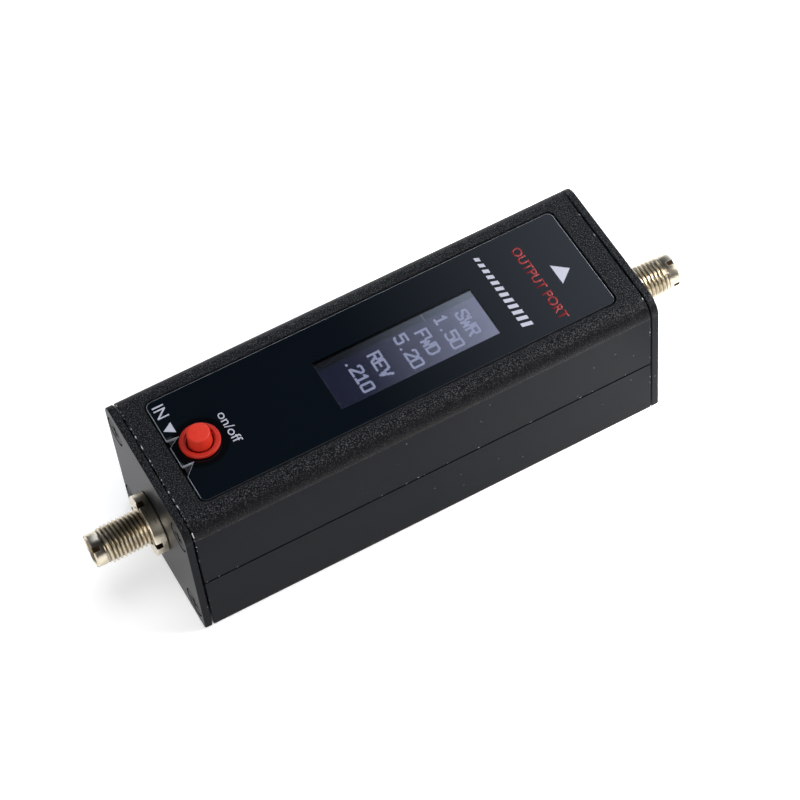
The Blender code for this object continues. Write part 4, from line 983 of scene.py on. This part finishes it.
def cross_recess(name, side, spot):
    """Tapered cross of a screwdriver recess."""
    face = PLATE_FACE - FLUSH_GAP
    rings = []
    for x, share in ((face + OVERRUN / 2, CROSS_MOUTH_SHARE), (face - CROSS_DEPTH, CROSS_TAPER_SHARE)):
        long = CROSS_SPAN / 2 * share
        thin = CROSS_WIDTH / 2 * share
        corner = ((long, thin), (thin, thin), (thin, long))
        ring = []
        for quarter in range(4):
            turn = Matrix.Rotation(quarter * pi / 2, 2)
            ring += [turn @ Vector(point) for point in corner]
        rings.append([Vector((side * x, spot[0] + p.x, spot[1] + p.y)) for p in ring])
    return loft(name, rings)


def end_screws(end, side, mat):
    """Four countersunk screws with cross recesses."""
    for index, spot in enumerate(channel_places()):
        name = f"{end}_screw_{index + 1}"
        mesh = turned(name, screw_profile(side), SMALL_STEPS, "x", spot, closed=False)
        piece = combine(place(name, mesh, mat), [cross_recess(f"{name}_recess", side, spot)])
        finish_piece(piece, "screw", f"{end}_end_screw_{index + 1}")


def end_plate(settings, end, side, mats):
    """Plate with the section of the case: a smooth face and blasted edges."""
    rounding = settings.plate_round
    levels = [(PLATE_INNER, settings.edge_break), (PLATE_INNER + settings.edge_break, 0.0)]
    levels += [(PLATE_FACE - rounding + rounding * sin(pi / 2 * i / FILLET_STEPS),
                rounding - rounding * cos(pi / 2 * i / FILLET_STEPS)) for i in range(FILLET_STEPS + 1)]
    rings = [[Vector((side * x, y, z)) for y, z in case_outline(settings, inset)] for x, inset in levels]
    piece = place(f"{end}_plate", loft(f"{end}_plate", rings), *mats)
    bore = THREAD_RADIUS + SEAT_GAP
    ends = [(bore, side * (PLATE_INNER - OVERRUN)), (bore, side * (PLATE_FACE + OVERRUN))]
    cutters = [turned("bore", ends, BORE_STEPS, "x", (0.0, AXIS_HEIGHT), closed=False)]
    hole = screw_profile(side, SEAT_GAP)
    cutters += [turned(f"screw_hole_{i}", hole, SMALL_STEPS, "x", spot, closed=False)
                for i, spot in enumerate(channel_places())]
    if side > 0:
        cutters.append(socket_cutter("socket_hole"))
    combine(piece, cutters)
    for polygon in piece.data.polygons:
        top = polygon.center.z > CASE_TOP - settings.top_radius
        polygon.material_index = 1 if abs(polygon.normal.x) > FACING_SHARE else 2 if top else 0
    finish_piece(piece, "end_plate", f"{end}_end_plate")


def thread_radius(settings, x, turn):
    """Radius of the barrel at x from the plate face and at a turn from 0 to 1."""
    end = TIP_END - PLATE_FACE - TIP_LENGTH
    phase = (x / settings.pitch - turn) % 1.0
    ridge = min(1.0, max(0.0, FLANK_STEEPNESS * (1.0 - abs(2.0 * phase - 1.0)) - ROOT_SHARE))
    fade = min(1.0, max(0.0, (end - x) / settings.pitch))
    return THREAD_RADIUS - settings.depth * (1.0 - ridge * fade) if x < end else TIP_RADIUS


def connector_body(settings, end, side, mats):
    """Threaded barrel with a slotted tip, and the flange and legs behind the plate."""
    reach = TIP_END - PLATE_FACE
    thread_end = reach - TIP_LENGTH
    rear = BODY_LOW.x + LEG_REACH + TAIL_LENGTH - PLATE_FACE
    front = PLATE_INNER - SEAT_GAP - PLATE_FACE
    sides = settings.sides
    chamfer = BARREL_CHAMFER
    tip = ((reach, TIP_RADIUS - chamfer), (reach - chamfer, TIP_RADIUS),
           (thread_end + chamfer, TIP_RADIUS), (thread_end, TIP_RADIUS - chamfer / 2))
    rings = [(x, [radius] * sides) for x, radius in tip]
    first = NUT_LOW.x - PLATE_FACE
    count = round((thread_end - first) / settings.pitch * settings.steps)
    for i in range(1, count + 1):
        x = thread_end - (thread_end - first) * i / count
        rings.append((x, [thread_radius(settings, x, j / sides) for j in range(sides)]))
    back = ((front, THREAD_RADIUS - settings.depth), (front, FLANGE_RADIUS), (rear, FLANGE_RADIUS),
            (rear, TAIL_RADIUS), (rear - TAIL_LENGTH, TAIL_RADIUS), (rear - TAIL_LENGTH, BORE_RADIUS),
            (reach - chamfer, BORE_RADIUS), (reach, BORE_RADIUS + chamfer))
    rings += [(x, [radius] * sides) for x, radius in back]
    points = []
    for x, radii in rings:
        points.append([Vector((side * (PLATE_FACE + x), side * radius * cos(tau * j / sides),
                               AXIS_HEIGHT + radius * sin(tau * j / sides)))
                       for j, radius in enumerate(radii)])
    name = f"{end}_barrel"
    piece = place(name, loft(name, points, closed=True), *mats)

    cutters = []
    deep, out = sorted((side * (TIP_END - TIP_SLOT_DEPTH), side * (TIP_END + OVERRUN)))
    skin = BORE_RADIUS + SLOT_SKIN
    for quarter in range(4):
        angle = SLOT_TURNS[side] + quarter * pi / 2
        across = Vector((cos(angle), sin(angle)))
        beside = Vector((-sin(angle), cos(angle))) * TIP_SLOT_WIDTH / 2
        center = Vector((0.0, AXIS_HEIGHT))
        near = center + across * skin
        far = center + across * (TIP_RADIUS + OVERRUN)
        outline = (near - beside, far - beside, far + beside, near + beside)
        cutters.append(prism(f"slot_{quarter}", outline, deep, out, "x"))
    combine(piece, cutters)
    # the walls of the tip slots take the painted shade
    for polygon in piece.data.polygons:
        spot = polygon.center
        in_wall = skin - chamfer / 8 < hypot(spot.y, spot.z - AXIS_HEIGHT) < TIP_RADIUS - chamfer
        if in_wall and deep - OVERRUN / 9 < spot.x < out and abs(abs(spot.x) - TIP_END) > chamfer:
            polygon.material_index = 1

    legs = []
    start = PLATE_FACE + rear + FLANGE_THICKNESS / 2
    for hand in (-1, 1):
        for low in (BOARD_SEAT, BOARD_UNDER - LEG_SIZE):
            xs = sorted((side * start, side * BODY_LOW.x))
            middle = hand * LEG_SPACING / 2
            legs.append(box(f"leg_{hand}", (xs[0], middle - LEG_SIZE / 2, low),
                            (xs[1], middle + LEG_SIZE / 2, low + LEG_SIZE)))
    combine(piece, legs, 'UNION')
    finish_piece(piece, "connector", f"{end}_connector_body")


def ring_nut(end, side, mats):
    """Round nut with four spanner notches and broken edges, close against the plate."""
    radius = (NUT_HIGH.y - NUT_LOW.y) / 2
    bore = THREAD_RADIUS + SEAT_GAP
    rim = NUT_RIM
    rear = PLATE_FACE + FLUSH_GAP
    corners = ((bore, side * rear, 0.0), (radius, side * rear, rim),
               (radius, side * NUT_HIGH.x, rim), (bore, side * NUT_HIGH.x, rim))
    mesh = turned(f"{end}_nut", filleted(corners), ROUND_STEPS, "x", (0.0, AXIS_HEIGHT))
    piece = place(f"{end}_nut", mesh, *mats)
    low, high = radius - NOTCH_WIDTH, radius + OVERRUN
    half = NOTCH_WIDTH / 2
    notch_floor = side * (NUT_HIGH.x - NOTCH_IN_NUT)
    xs = sorted((notch_floor, side * (NUT_HIGH.x + OVERRUN)))
    cutters = []
    for quarter in range(4):
        turn = Matrix.Rotation(quarter * pi / 2 - NUT_TURN, 2)
        corners = [turn @ Vector(p) for p in ((low, -half), (high, -half), (high, half), (low, half))]
        cutters.append(prism(f"notch_{quarter}", [(p.x, p.y + AXIS_HEIGHT) for p in corners], *xs, "x"))
    combine(piece, cutters)
    # the walls and floors of the notches take the painted shade
    for polygon in piece.data.polygons:
        spot = polygon.center
        in_wall = bore + rim <= hypot(spot.y, spot.z - AXIS_HEIGHT) < radius - rim
        at_face = abs(abs(spot.x) - NUT_HIGH.x) < rim
        on_floor = abs(spot.x - notch_floor) < rim / 8 and abs(polygon.normal.x) > FACING_SHARE
        in_notch = in_wall and xs[0] < spot.x < xs[1] and not at_face
        polygon.material_index = 1 if in_notch or on_floor else 0
    finish_piece(piece, "ring_nut", f"{end}_ring_nut")


def connector_inside(end, side, sleeve_mat, contact_mat):
    """Sleeve and split centre contact."""
    outer = BORE_RADIUS - SEAT_GAP
    inner = CONTACT_RADIUS + SEAT_GAP
    rim = CONTACT_RIM
    corners = ((inner, side * SLEEVE_LOW.x, 0.0), (outer, side * SLEEVE_LOW.x, 0.0),
               (outer, side * SLEEVE_HIGH.x, rim), (inner, side * SLEEVE_HIGH.x, rim))
    name = f"{end}_sleeve"
    mesh = turned(name, filleted(corners), SMALL_STEPS, "x", (0.0, AXIS_HEIGHT))
    sleeve = place(name, mesh, sleeve_mat)
    finish_piece(sleeve, "insulator", f"{end}_insulator")

    front = CONTACT_HIGH.x
    tail = SLEEVE_LOW.x
    corners = ((CONTACT_BORE, side * (front - CONTACT_BORE_DEPTH), 0.0),
               (CONTACT_BORE, side * front, rim / 2), (CONTACT_RADIUS, side * front, rim),
               (CONTACT_RADIUS, side * tail, 0.0), (PIN_RADIUS, side * tail, 0.0),
               (PIN_RADIUS, side * CONTACT_LOW.x, 0.0))
    name = f"{end}_pin"
    mesh = turned(name, filleted(corners), PIN_STEPS, "x", (0.0, AXIS_HEIGHT), closed=False)
    pin = place(name, mesh, contact_mat)
    low, high = sorted((side * (front - CONTACT_SLIT_DEPTH), side * (front + OVERRUN)))
    slits = []
    for slit, y, z in (("slit_a", OVERRUN, CONTACT_SLIT / 2), ("slit_b", CONTACT_SLIT / 2, OVERRUN)):
        slits.append(box(slit, (low, -y, AXIS_HEIGHT - z), (high, y, AXIS_HEIGHT + z)))
    combine(pin, slits)
    finish_piece(pin, "contact", f"{end}_contact")


def panel_outline(inset=0.0, notched=True):
    """Face panel seen from above: round corners and two notches at the button end."""
    low_x, high_x = PANEL_LOW.x + inset, PANEL_HIGH.x - inset
    width = PANEL_HIGH.y - PANEL_LOW.y - 2 * inset
    middle = ((low_x + high_x) / 2, (PANEL_LOW.y + PANEL_HIGH.y) / 2)
    outline = rounded_rectangle(middle, high_x - low_x, width, PANEL_CORNER - inset)
    if not notched:
        return outline
    second = 2 * (ARC_STEPS + 1)
    notches = []
    for start, point, end in NOTCHES:
        notches += [(low_x, start), (low_x + NOTCH_DEPTH, point), (low_x, end)]
    return outline[:second] + notches + outline[second:]


def split_at(mesh, planes):
    """Add edges where (axis, level) planes cross a mesh."""
    bm = bmesh.new()
    bm.from_mesh(mesh)
    for axis, level in planes:
        point = Vector((0.0, 0.0, 0.0))
        point[axis] = level
        normal = Vector((0.0, 0.0, 0.0))
        normal[axis] = 1.0
        bmesh.ops.bisect_plane(bm, geom=bm.verts[:] + bm.edges[:] + bm.faces[:],
                               plane_co=point, plane_no=normal)
    bm.to_mesh(mesh)
    bm.free()


def face_panel(settings, mats):
    """Clear sheet with rounded cut edges; its print leaves the display window clear."""
    mesh = prism("panel_sheet", panel_outline(), PANEL_LOW.z, PANEL_HIGH.z)
    piece = round_edges(place("panel_sheet", mesh, *mats), settings.edge_round)
    below, above = PANEL_LOW.z - OVERRUN, PANEL_HIGH.z + OVERRUN
    combine(piece, [button_hole("panel_hole", below, above, BORE_STEPS)])
    (low_x, low_y), (high_x, high_y) = WINDOW
    split_at(piece.data, ((0, low_x), (0, high_x), (1, low_y), (1, high_y)))
    for polygon in piece.data.polygons:
        spot = polygon.center
        inside = low_x < spot.x < high_x and low_y < spot.y < high_y
        if abs(polygon.normal.z) < FACING_SHARE:
            polygon.material_index = 1
        else:
            polygon.material_index = 2 if inside else 0
    finish_piece(piece, "face_panel", "face_panel")


def panel_adhesive(mat):
    """Sheet under the panel, open around the display glass and the button."""
    inset = SHEET_LOW.x - PANEL_LOW.x
    mesh = prism("panel_tape", panel_outline(inset, notched=False), SHEET_LOW.z, UNDER_PANEL)
    piece = place("panel_tape", mesh, mat)
    low, high = SHEET_LOW.z - OVERRUN, UNDER_PANEL + OVERRUN
    combine(piece, [glass_opening("tape_window", low, high), button_hole("tape_hole", low, high)])
    finish_piece(piece, "adhesive", "panel_adhesive")


def lay_on_case(name, mesh, mat):
    """Put print or lit dots on the case."""
    piece = place(name, mesh, mat)
    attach(piece, "case")


def raised_print(name, outline, mat):
    """One printed mark, a hair above the panel."""
    mesh = prism(name, outline, PANEL_HIGH.z, PANEL_HIGH.z + PRINT_THICKNESS)
    lay_on_case(name, mesh, mat)


def printed_words(name, words, mat):
    """Words that read towards -Y, fitted to their place on the panel."""
    text, low_x, height, first_y, last_y, weight, _ = words
    curve = bpy.data.curves.new(name, 'FONT')
    curve.body = text
    curve.resolution_u = 4
    curve.offset = weight
    letters = bpy.data.objects.new(name, curve)
    bpy.context.scene.collection.objects.link(letters)
    graph = bpy.context.evaluated_depsgraph_get()
    mesh = bpy.data.meshes.new_from_object(letters.evaluated_get(graph))
    bpy.data.objects.remove(letters)

    xs = [v.co.x for v in mesh.vertices]
    ys = [v.co.y for v in mesh.vertices]
    along = (first_y - last_y) / (max(xs) - min(xs))
    up = height / (max(ys) - min(ys))
    bm = bmesh.new()
    bm.from_mesh(mesh)
    bmesh.ops.remove_doubles(bm, verts=bm.verts, dist=LETTER_WELD)
    for vert in bm.verts:
        vert.co = Vector((low_x + (vert.co.y - min(ys)) * up, first_y - (vert.co.x - min(xs)) * along,
                          PANEL_HIGH.z))
    flat = bm.faces[:]
    bmesh.ops.recalc_face_normals(bm, faces=flat)
    for face in flat:
        if face.normal.z < 0:
            face.normal_flip()
    raised = bmesh.ops.extrude_face_region(bm, geom=flat)
    for item in raised["geom"]:
        if isinstance(item, bmesh.types.BMVert):
            item.co.z += PRINT_THICKNESS
    bmesh.ops.recalc_face_normals(bm, faces=bm.faces[:])
    bm.to_mesh(mesh)
    bm.free()
    lay_on_case(name, mesh, mat)


def level_bars(mat):
    """Rising bars of a plain level scale."""
    pitch = (BAR_START - BAR_END) / BAR_COUNT
    width = pitch * BAR_WIDTH_SHARE
    for i in range(BAR_COUNT):
        y = BAR_START - i * pitch
        share = BAR_FIRST_SHARE + (1 - BAR_FIRST_SHARE) * i / (BAR_COUNT - 1)
        top = BAR_BASE + (BAR_TOP - BAR_BASE) * share
        outline = [(BAR_BASE, y - width), (BAR_BASE, y), (top, y - BAR_LEAN), (top, y - width - BAR_LEAN)]
        raised_print(f"level_bar_{i + 1}", outline, mat)


def character_dots(character):
    """Lit dots of one character, drawn with a pen two dots wide and two high."""
    dots = set()
    for stroke in STROKES[character]:
        for (x0, y0), (x1, y1) in zip(stroke, stroke[1:]):
            count = max(abs(x1 - x0), abs(y1 - y0), 1)
            for i in range(count + 1):
                x = round(x0 + (x1 - x0) * i / count)
                y = round(y0 + (y1 - y0) * i / count)
                dots |= {(x, y), (x + 1, y), (x, y + 1), (x + 1, y + 1)}
    return dots


def readout(settings, mat):
    """Rows of lit dots on the display glass."""
    pitch = settings.dot_pitch
    height = settings.dot_height
    size = Vector((height * DOT_LIT_SHARE, pitch * DOT_LIT_SHARE, DOT_THICKNESS))
    bm = bmesh.new()
    for row_x, word in zip(ROW_PLACES, ROW_WORDS):
        spare = (ROW_CHARACTERS - len(word)) * CELL_COLUMNS / 2
        base_x = row_x - CELL_ROWS * height / 2
        for index, character in enumerate(word):
            column = spare + index * CELL_COLUMNS
            for dot_x, dot_y in character_dots(character):
                x = base_x + (dot_y + 0.5) * height
                y = READOUT_START - (column + dot_x + 0.5) * pitch
                middle = Vector((x, y, UNDER_PANEL + DOT_THICKNESS / 2))
                matrix = Matrix.Translation(middle) @ Matrix.Diagonal((*size, 1.0))
                bmesh.ops.create_cube(bm, size=1.0, matrix=matrix)
    mesh = bpy.data.meshes.new("readout")
    bm.to_mesh(mesh)
    bm.free()
    lay_on_case("readout", mesh, mat)


def button_bezel(settings, mat):
    """Flange with a counterbore, on a barrel that passes the top of the case."""
    radius = (BEZEL_HIGH.x - BEZEL_LOW.x) / 2
    top = BEZEL_HIGH.z
    under = top - FLANGE_HEIGHT
    step = top - COUNTERBORE_DEPTH
    edge = settings.edge_round
    corners = ((BEZEL_BORE, BEZEL_LOW.z, 0.0), (BEZEL_BARREL, BEZEL_LOW.z, 0.0),
               (BEZEL_BARREL, under, 0.0), (radius, under, edge / 4), (radius, top, edge),
               (COUNTERBORE_RADIUS, top, edge / 3),
               (COUNTERBORE_RADIUS - edge / 3, step, 0.0), (BEZEL_BORE, step, edge / 4))
    mesh = turned("button_ring", filleted(corners), ROUND_STEPS, "z", (BUTTON_X, BUTTON_Y))
    finish_piece(place("button_ring", mesh, mat), "button", "button_bezel")


def button_cap(settings, mat):
    """Tapered cap, collar and stem in one moulding."""
    top = CAP_HIGH.z
    under = BEZEL_HIGH.z - FLANGE_HEIGHT
    collar = BEZEL_LOW.z - SEAT_GAP
    edge = settings.edge_round
    corners = ((CAP_CORE_RADIUS, top, 0.0), (CAP_TOP_RADIUS, top, edge), (CAP_BASE_RADIUS, under, 0.0),
               (CAP_BASE_RADIUS, collar, 0.0), (COLLAR_RADIUS, collar, edge / 4),
               (COLLAR_RADIUS, collar - COLLAR_THICKNESS, edge / 4),
               (STEM_RADIUS, collar - COLLAR_THICKNESS, 0.0), (STEM_RADIUS, CAP_LOW.z, 0.0))
    mesh = turned("button_plunger", filleted(corners), ROUND_STEPS, "z", (BUTTON_X, BUTTON_Y),
                  closed=False)
    finish_piece(place("button_plunger", mesh, mat), "button", "button_cap", body="button")


def charge_socket(metal, plastic):
    """Drawn steel shell with rounded corners and a tongue."""
    low, high, wall = SOCKET_LOW, SOCKET_HIGH, SOCKET_WALL
    width, height = high.y - low.y, high.z - low.z
    middle = ((low.y + high.y) / 2, (low.z + high.z) / 2)
    outer = rounded_rectangle(middle, width, height, SOCKET_CORNER, FILLET_STEPS)
    inner = rounded_rectangle(middle, width - 2 * wall, height - 2 * wall, SOCKET_CORNER - wall,
                              FILLET_STEPS)
    piece = place("charge_shell", prism("charge_shell", outer, low.x, high.x, "x"), metal)
    combine(piece, [prism("charge_room", inner, low.x + wall, high.x + OVERRUN, "x")])
    finish_piece(piece, "tinplate", "charge_socket")
    thick = TONGUE_HALF_THICKNESS
    mesh = box("charge_tongue", (low.x + wall / 2, middle[0] - width / 4, middle[1] - thick),
               (high.x - wall, middle[0] + width / 4, middle[1] + thick))
    tongue = round_edges(place("charge_tongue", mesh, plastic), thick / 3)
    finish_piece(tongue, "black_plastic")


class METER_OT_stage(bpy.types.Operator):
    """Pale floor, soft light and the camera"""
    bl_idname = "meter.stage"
    bl_label = "Stage"

    def execute(self, context):
        settings = context.scene.meter_stage
        context.scene.view_settings.view_transform = 'Standard'
        radius = settings.floor_radius
        outline = arc((0.0, 0.0), radius, 0.0, tau, ROUND_STEPS)[:-1]
        mesh = prism("floor", outline, -radius / 100, -FLUSH_GAP)
        floor = place("floor", mesh, opal_acrylic(settings))
        self.camera(context, settings)
        self.lights(settings)
        self.surroundings(context)
        return {'FINISHED'}

    def camera(self, context, settings):
        """Camera from its angles, its distance and the point that it looks at."""
        around, above, roll = settings.azimuth, settings.elevation, settings.roll
        back = Vector((sin(around) * cos(above), -cos(around) * cos(above), sin(above)))
        level = Vector((cos(around), sin(around), 0.0))
        rise = back.cross(level)
        right = level * cos(roll) + rise * sin(roll)
        up = rise * cos(roll) - level * sin(roll)
        data = bpy.data.cameras.new("camera")
        data.lens = settings.lens
        data.clip_start = 0.01
        camera = bpy.data.objects.new("camera", data)
        context.scene.collection.objects.link(camera)
        turn = Matrix((right, up, back)).transposed().to_4x4()
        camera.matrix_world = Matrix.Translation(Vector(settings.target) + back * settings.distance) @ turn
        context.scene.camera = camera

    def lights(self, settings):
        """A large softbox overhead, a lower one in front and a small one close on the right.
        The overhead one is flagged so that the panel and the display don't mirror it."""
        powers = (settings.key_power, settings.front_power, settings.right_power)
        for power, (name, (spot, aim, size)) in zip(powers, SOFTBOXES.items()):
            data = bpy.data.lights.new(name, 'AREA')
            data.shape = 'SQUARE'
            data.size = size
            data.energy = power
            light = bpy.data.objects.new(name, data)
            bpy.context.scene.collection.objects.link(light)
            light.location = spot
            light.rotation_euler = (Vector(aim) - Vector(spot)).to_track_quat('-Z', 'Y').to_euler()
            light.visible_glossy = light.visible_transmission = name != "overhead_softbox"

    def surroundings(self, context):
        """Pale walls, dark in front, a dim ceiling, and a lighter patch behind to the right."""
        world = bpy.data.worlds.new("studio")
        world.use_nodes = True
        tree = world.node_tree
        point = add_node(tree, "TexCoord").outputs["Generated"]
        parts = add_node(tree, "SeparateXYZ", {0: point}).outputs
        walls, patch = [self.brightness(tree, parts, ranges) for ranges in (WALLS, BRIGHT_PATCH)]
        level = add_node(tree, "Math", {0: walls, 1: patch}, operation='MAXIMUM').outputs[0]
        background = tree.nodes["Background"]
        tree.links.new(level, background.inputs["Strength"])
        background.inputs["Color"].default_value = linear("#E8F1FF")
        context.scene.world = world

    def brightness(self, tree, parts, ranges):
        """Product of levels that each rise or fall along one axis."""
        level = 1.0
        for axis, start, end, first, last, curve in ranges.values():
            here = add_node(tree, "MapRange", {0: parts[axis], 1: start, 2: end, 3: first, 4: last},
                            interpolation_type=curve).outputs[0]
            level = add_node(tree, "Math", {0: level, 1: here}, operation='MULTIPLY').outputs[0]
        return level


class METER_OT_case(bpy.types.Operator):
    """Two shells, two end plates and their screws"""
    bl_idname = "meter.case"
    bl_label = "Case"

    def execute(self, context):
        settings = context.scene.meter_case
        blasted = blasted_aluminium(settings)
        satin = satin_aluminium(settings)
        plate = satin_anodised_plate(settings)
        zinc = black_zinc_steel()
        upper_shell(settings, (blasted, satin))
        lower_shell(settings, satin)
        for end, side in (("input", -1), ("output", 1)):
            end_plate(settings, end, side, (satin, plate, blasted))
            end_screws(end, side, zinc)
        return {'FINISHED'}


class METER_OT_connectors(bpy.types.Operator):
    """Threaded barrels, ring nuts, sleeves and contacts"""
    bl_idname = "meter.connectors"
    bl_label = "Connectors"

    def execute(self, context):
        settings = context.scene.meter_connector
        nickel = nickel_plated_brass(settings)
        sleeve = moulded_plastic("white_fluoropolymer", "#F0EFEA", "#E2E0D8", 0.45)
        gold = gold_plated_contact()
        # painted shade for the nut notches and the tip slots
        dull = hollow_shade_brass(settings)
        for end, side in (("input", -1), ("output", 1)):
            connector_body(settings, end, side, (nickel, dull))
            ring_nut(end, side, (nickel, dull))
            connector_inside(end, side, sleeve, gold)
        return {'FINISHED'}


class METER_OT_face_panel(bpy.types.Operator):
    """Clear panel, its tape and its print"""
    bl_idname = "meter.face_panel"
    bl_label = "Face Panel"

    def execute(self, context):
        settings = context.scene.meter_panel
        sheet = (back_printed_acrylic(settings), cut_acrylic_edge(settings), clear_acrylic())
        face_panel(settings, sheet)
        panel_adhesive(adhesive_sheet())
        inks = {"white": screen_ink("white_screen_ink", settings.white_ink, "#A0A2B0"),
                "red": screen_ink("red_screen_ink", settings.red_ink, "#761C20")}
        for name, words in LEGENDS.items():
            printed_words(name, words, inks[words[-1]])
        raised_print("input_arrow", INPUT_ARROW, inks["white"])
        raised_print("output_arrow", OUTPUT_ARROW, inks["white"])
        level_bars(inks["white"])
        return {'FINISHED'}


class METER_OT_display(bpy.types.Operator):
    """Display glass and its readout"""
    bl_idname = "meter.display"
    bl_label = "Display"

    def execute(self, context):
        settings = context.scene.meter_display
        mesh = box("display_cell", GLASS_LOW, (GLASS_HIGH.x, GLASS_HIGH.y, UNDER_PANEL))
        cell = round_edges(place("display_cell", mesh, display_electrode(settings)), GLASS_EDGE)
        finish_piece(cell, "display_glass", "oled_glass")
        readout(settings, lit_dots(settings))
        return {'FINISHED'}


class METER_OT_button(bpy.types.Operator):
    """Bezel and cap of the push button"""
    bl_idname = "meter.button"
    bl_label = "Button"

    def execute(self, context):
        settings = context.scene.meter_button
        button_bezel(settings, moulded_red_abs("red_abs_bezel", settings.bezel, "#A41E10"))
        button_cap(settings, moulded_red_abs("red_abs_cap", settings.cap, "#C02A1A"))
        return {'FINISHED'}


class METER_OT_inside(bpy.types.Operator):
    """Charging socket, and finishes of the pieces inside the case"""
    bl_idname = "meter.inside"
    bl_label = "Inside"

    def execute(self, context):
        tin = tinned_steel()
        mask = solder_mask()
        black = moulded_plastic("black_glass_filled_nylon", "#141414", "#1E1E1F", 0.5)
        white = moulded_plastic("white_nylon", "#E6E3D8", "#D8D4C6", 0.45)
        brass = rolled_brass()
        steel = spring_steel()
        foam = grey_foam()
        charge_socket(tin, black)
        finishes = {
            "coupler_shield": tin, "main_board": mask, "display_board": mask,
            "microcontroller": black, "display_header": black, "header_socket": black,
            "switch_base": black, "battery_socket": white, "battery_plug": white,
            "battery_tape": foam, "oled_foam_pad": foam, "battery_cell": laminated_pouch(),
            "oled_flex": polyimide_film(), "button_nut": steel, "button_spring": steel,
            "contact_disc": brass, "switch_terminal_left": brass, "switch_terminal_right": brass,
            "battery_lead_red": moulded_plastic("red_silicone", "#B01C1C", "#9A1616", 0.5),
            "battery_lead_black": moulded_plastic("black_silicone", "#151515", "#1C1C1C", 0.5),
        }
        for name, mat in finishes.items():
            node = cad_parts[name]
            node.data.materials.clear()
            node.data.materials.append(mat)
        return {'FINISHED'}


OPERATORS = (METER_OT_stage, METER_OT_case, METER_OT_connectors, METER_OT_face_panel,
             METER_OT_display, METER_OT_button, METER_OT_inside)
GROUPS = {"meter_case": MeterCaseSettings, "meter_panel": MeterPanelSettings,
          "meter_display": MeterDisplaySettings, "meter_connector": MeterConnectorSettings,
          "meter_button": MeterButtonSettings, "meter_stage": MeterStageSettings}


class METER_PT_looks(bpy.types.Panel):
    """Buttons for every group of pieces"""
    bl_label = "In-line Meter"
    bl_idname = "METER_PT_looks"
    bl_space_type = 'VIEW_3D'
    bl_region_type = 'UI'
    bl_category = "Meter"

    def draw(self, context):
        for operator in OPERATORS:
            self.layout.operator(operator.bl_idname)


def register():
    for group in GROUPS.values():
        bpy.utils.register_class(group)
    for name, group in GROUPS.items():
        setattr(bpy.types.Scene, name, PointerProperty(type=group))
    for cls in (*OPERATORS, METER_PT_looks):
        bpy.utils.register_class(cls)


def unregister():
    for cls in (METER_PT_looks, *reversed(OPERATORS)):
        bpy.utils.unregister_class(cls)
    for name in GROUPS:
        delattr(bpy.types.Scene, name)
    for group in GROUPS.values():
        bpy.utils.unregister_class(group)


def main():
    register()
    for operator in OPERATORS:
        getattr(bpy.ops.meter, operator.bl_idname.split(".")[1])()


if __name__ == "__main__":
    main()
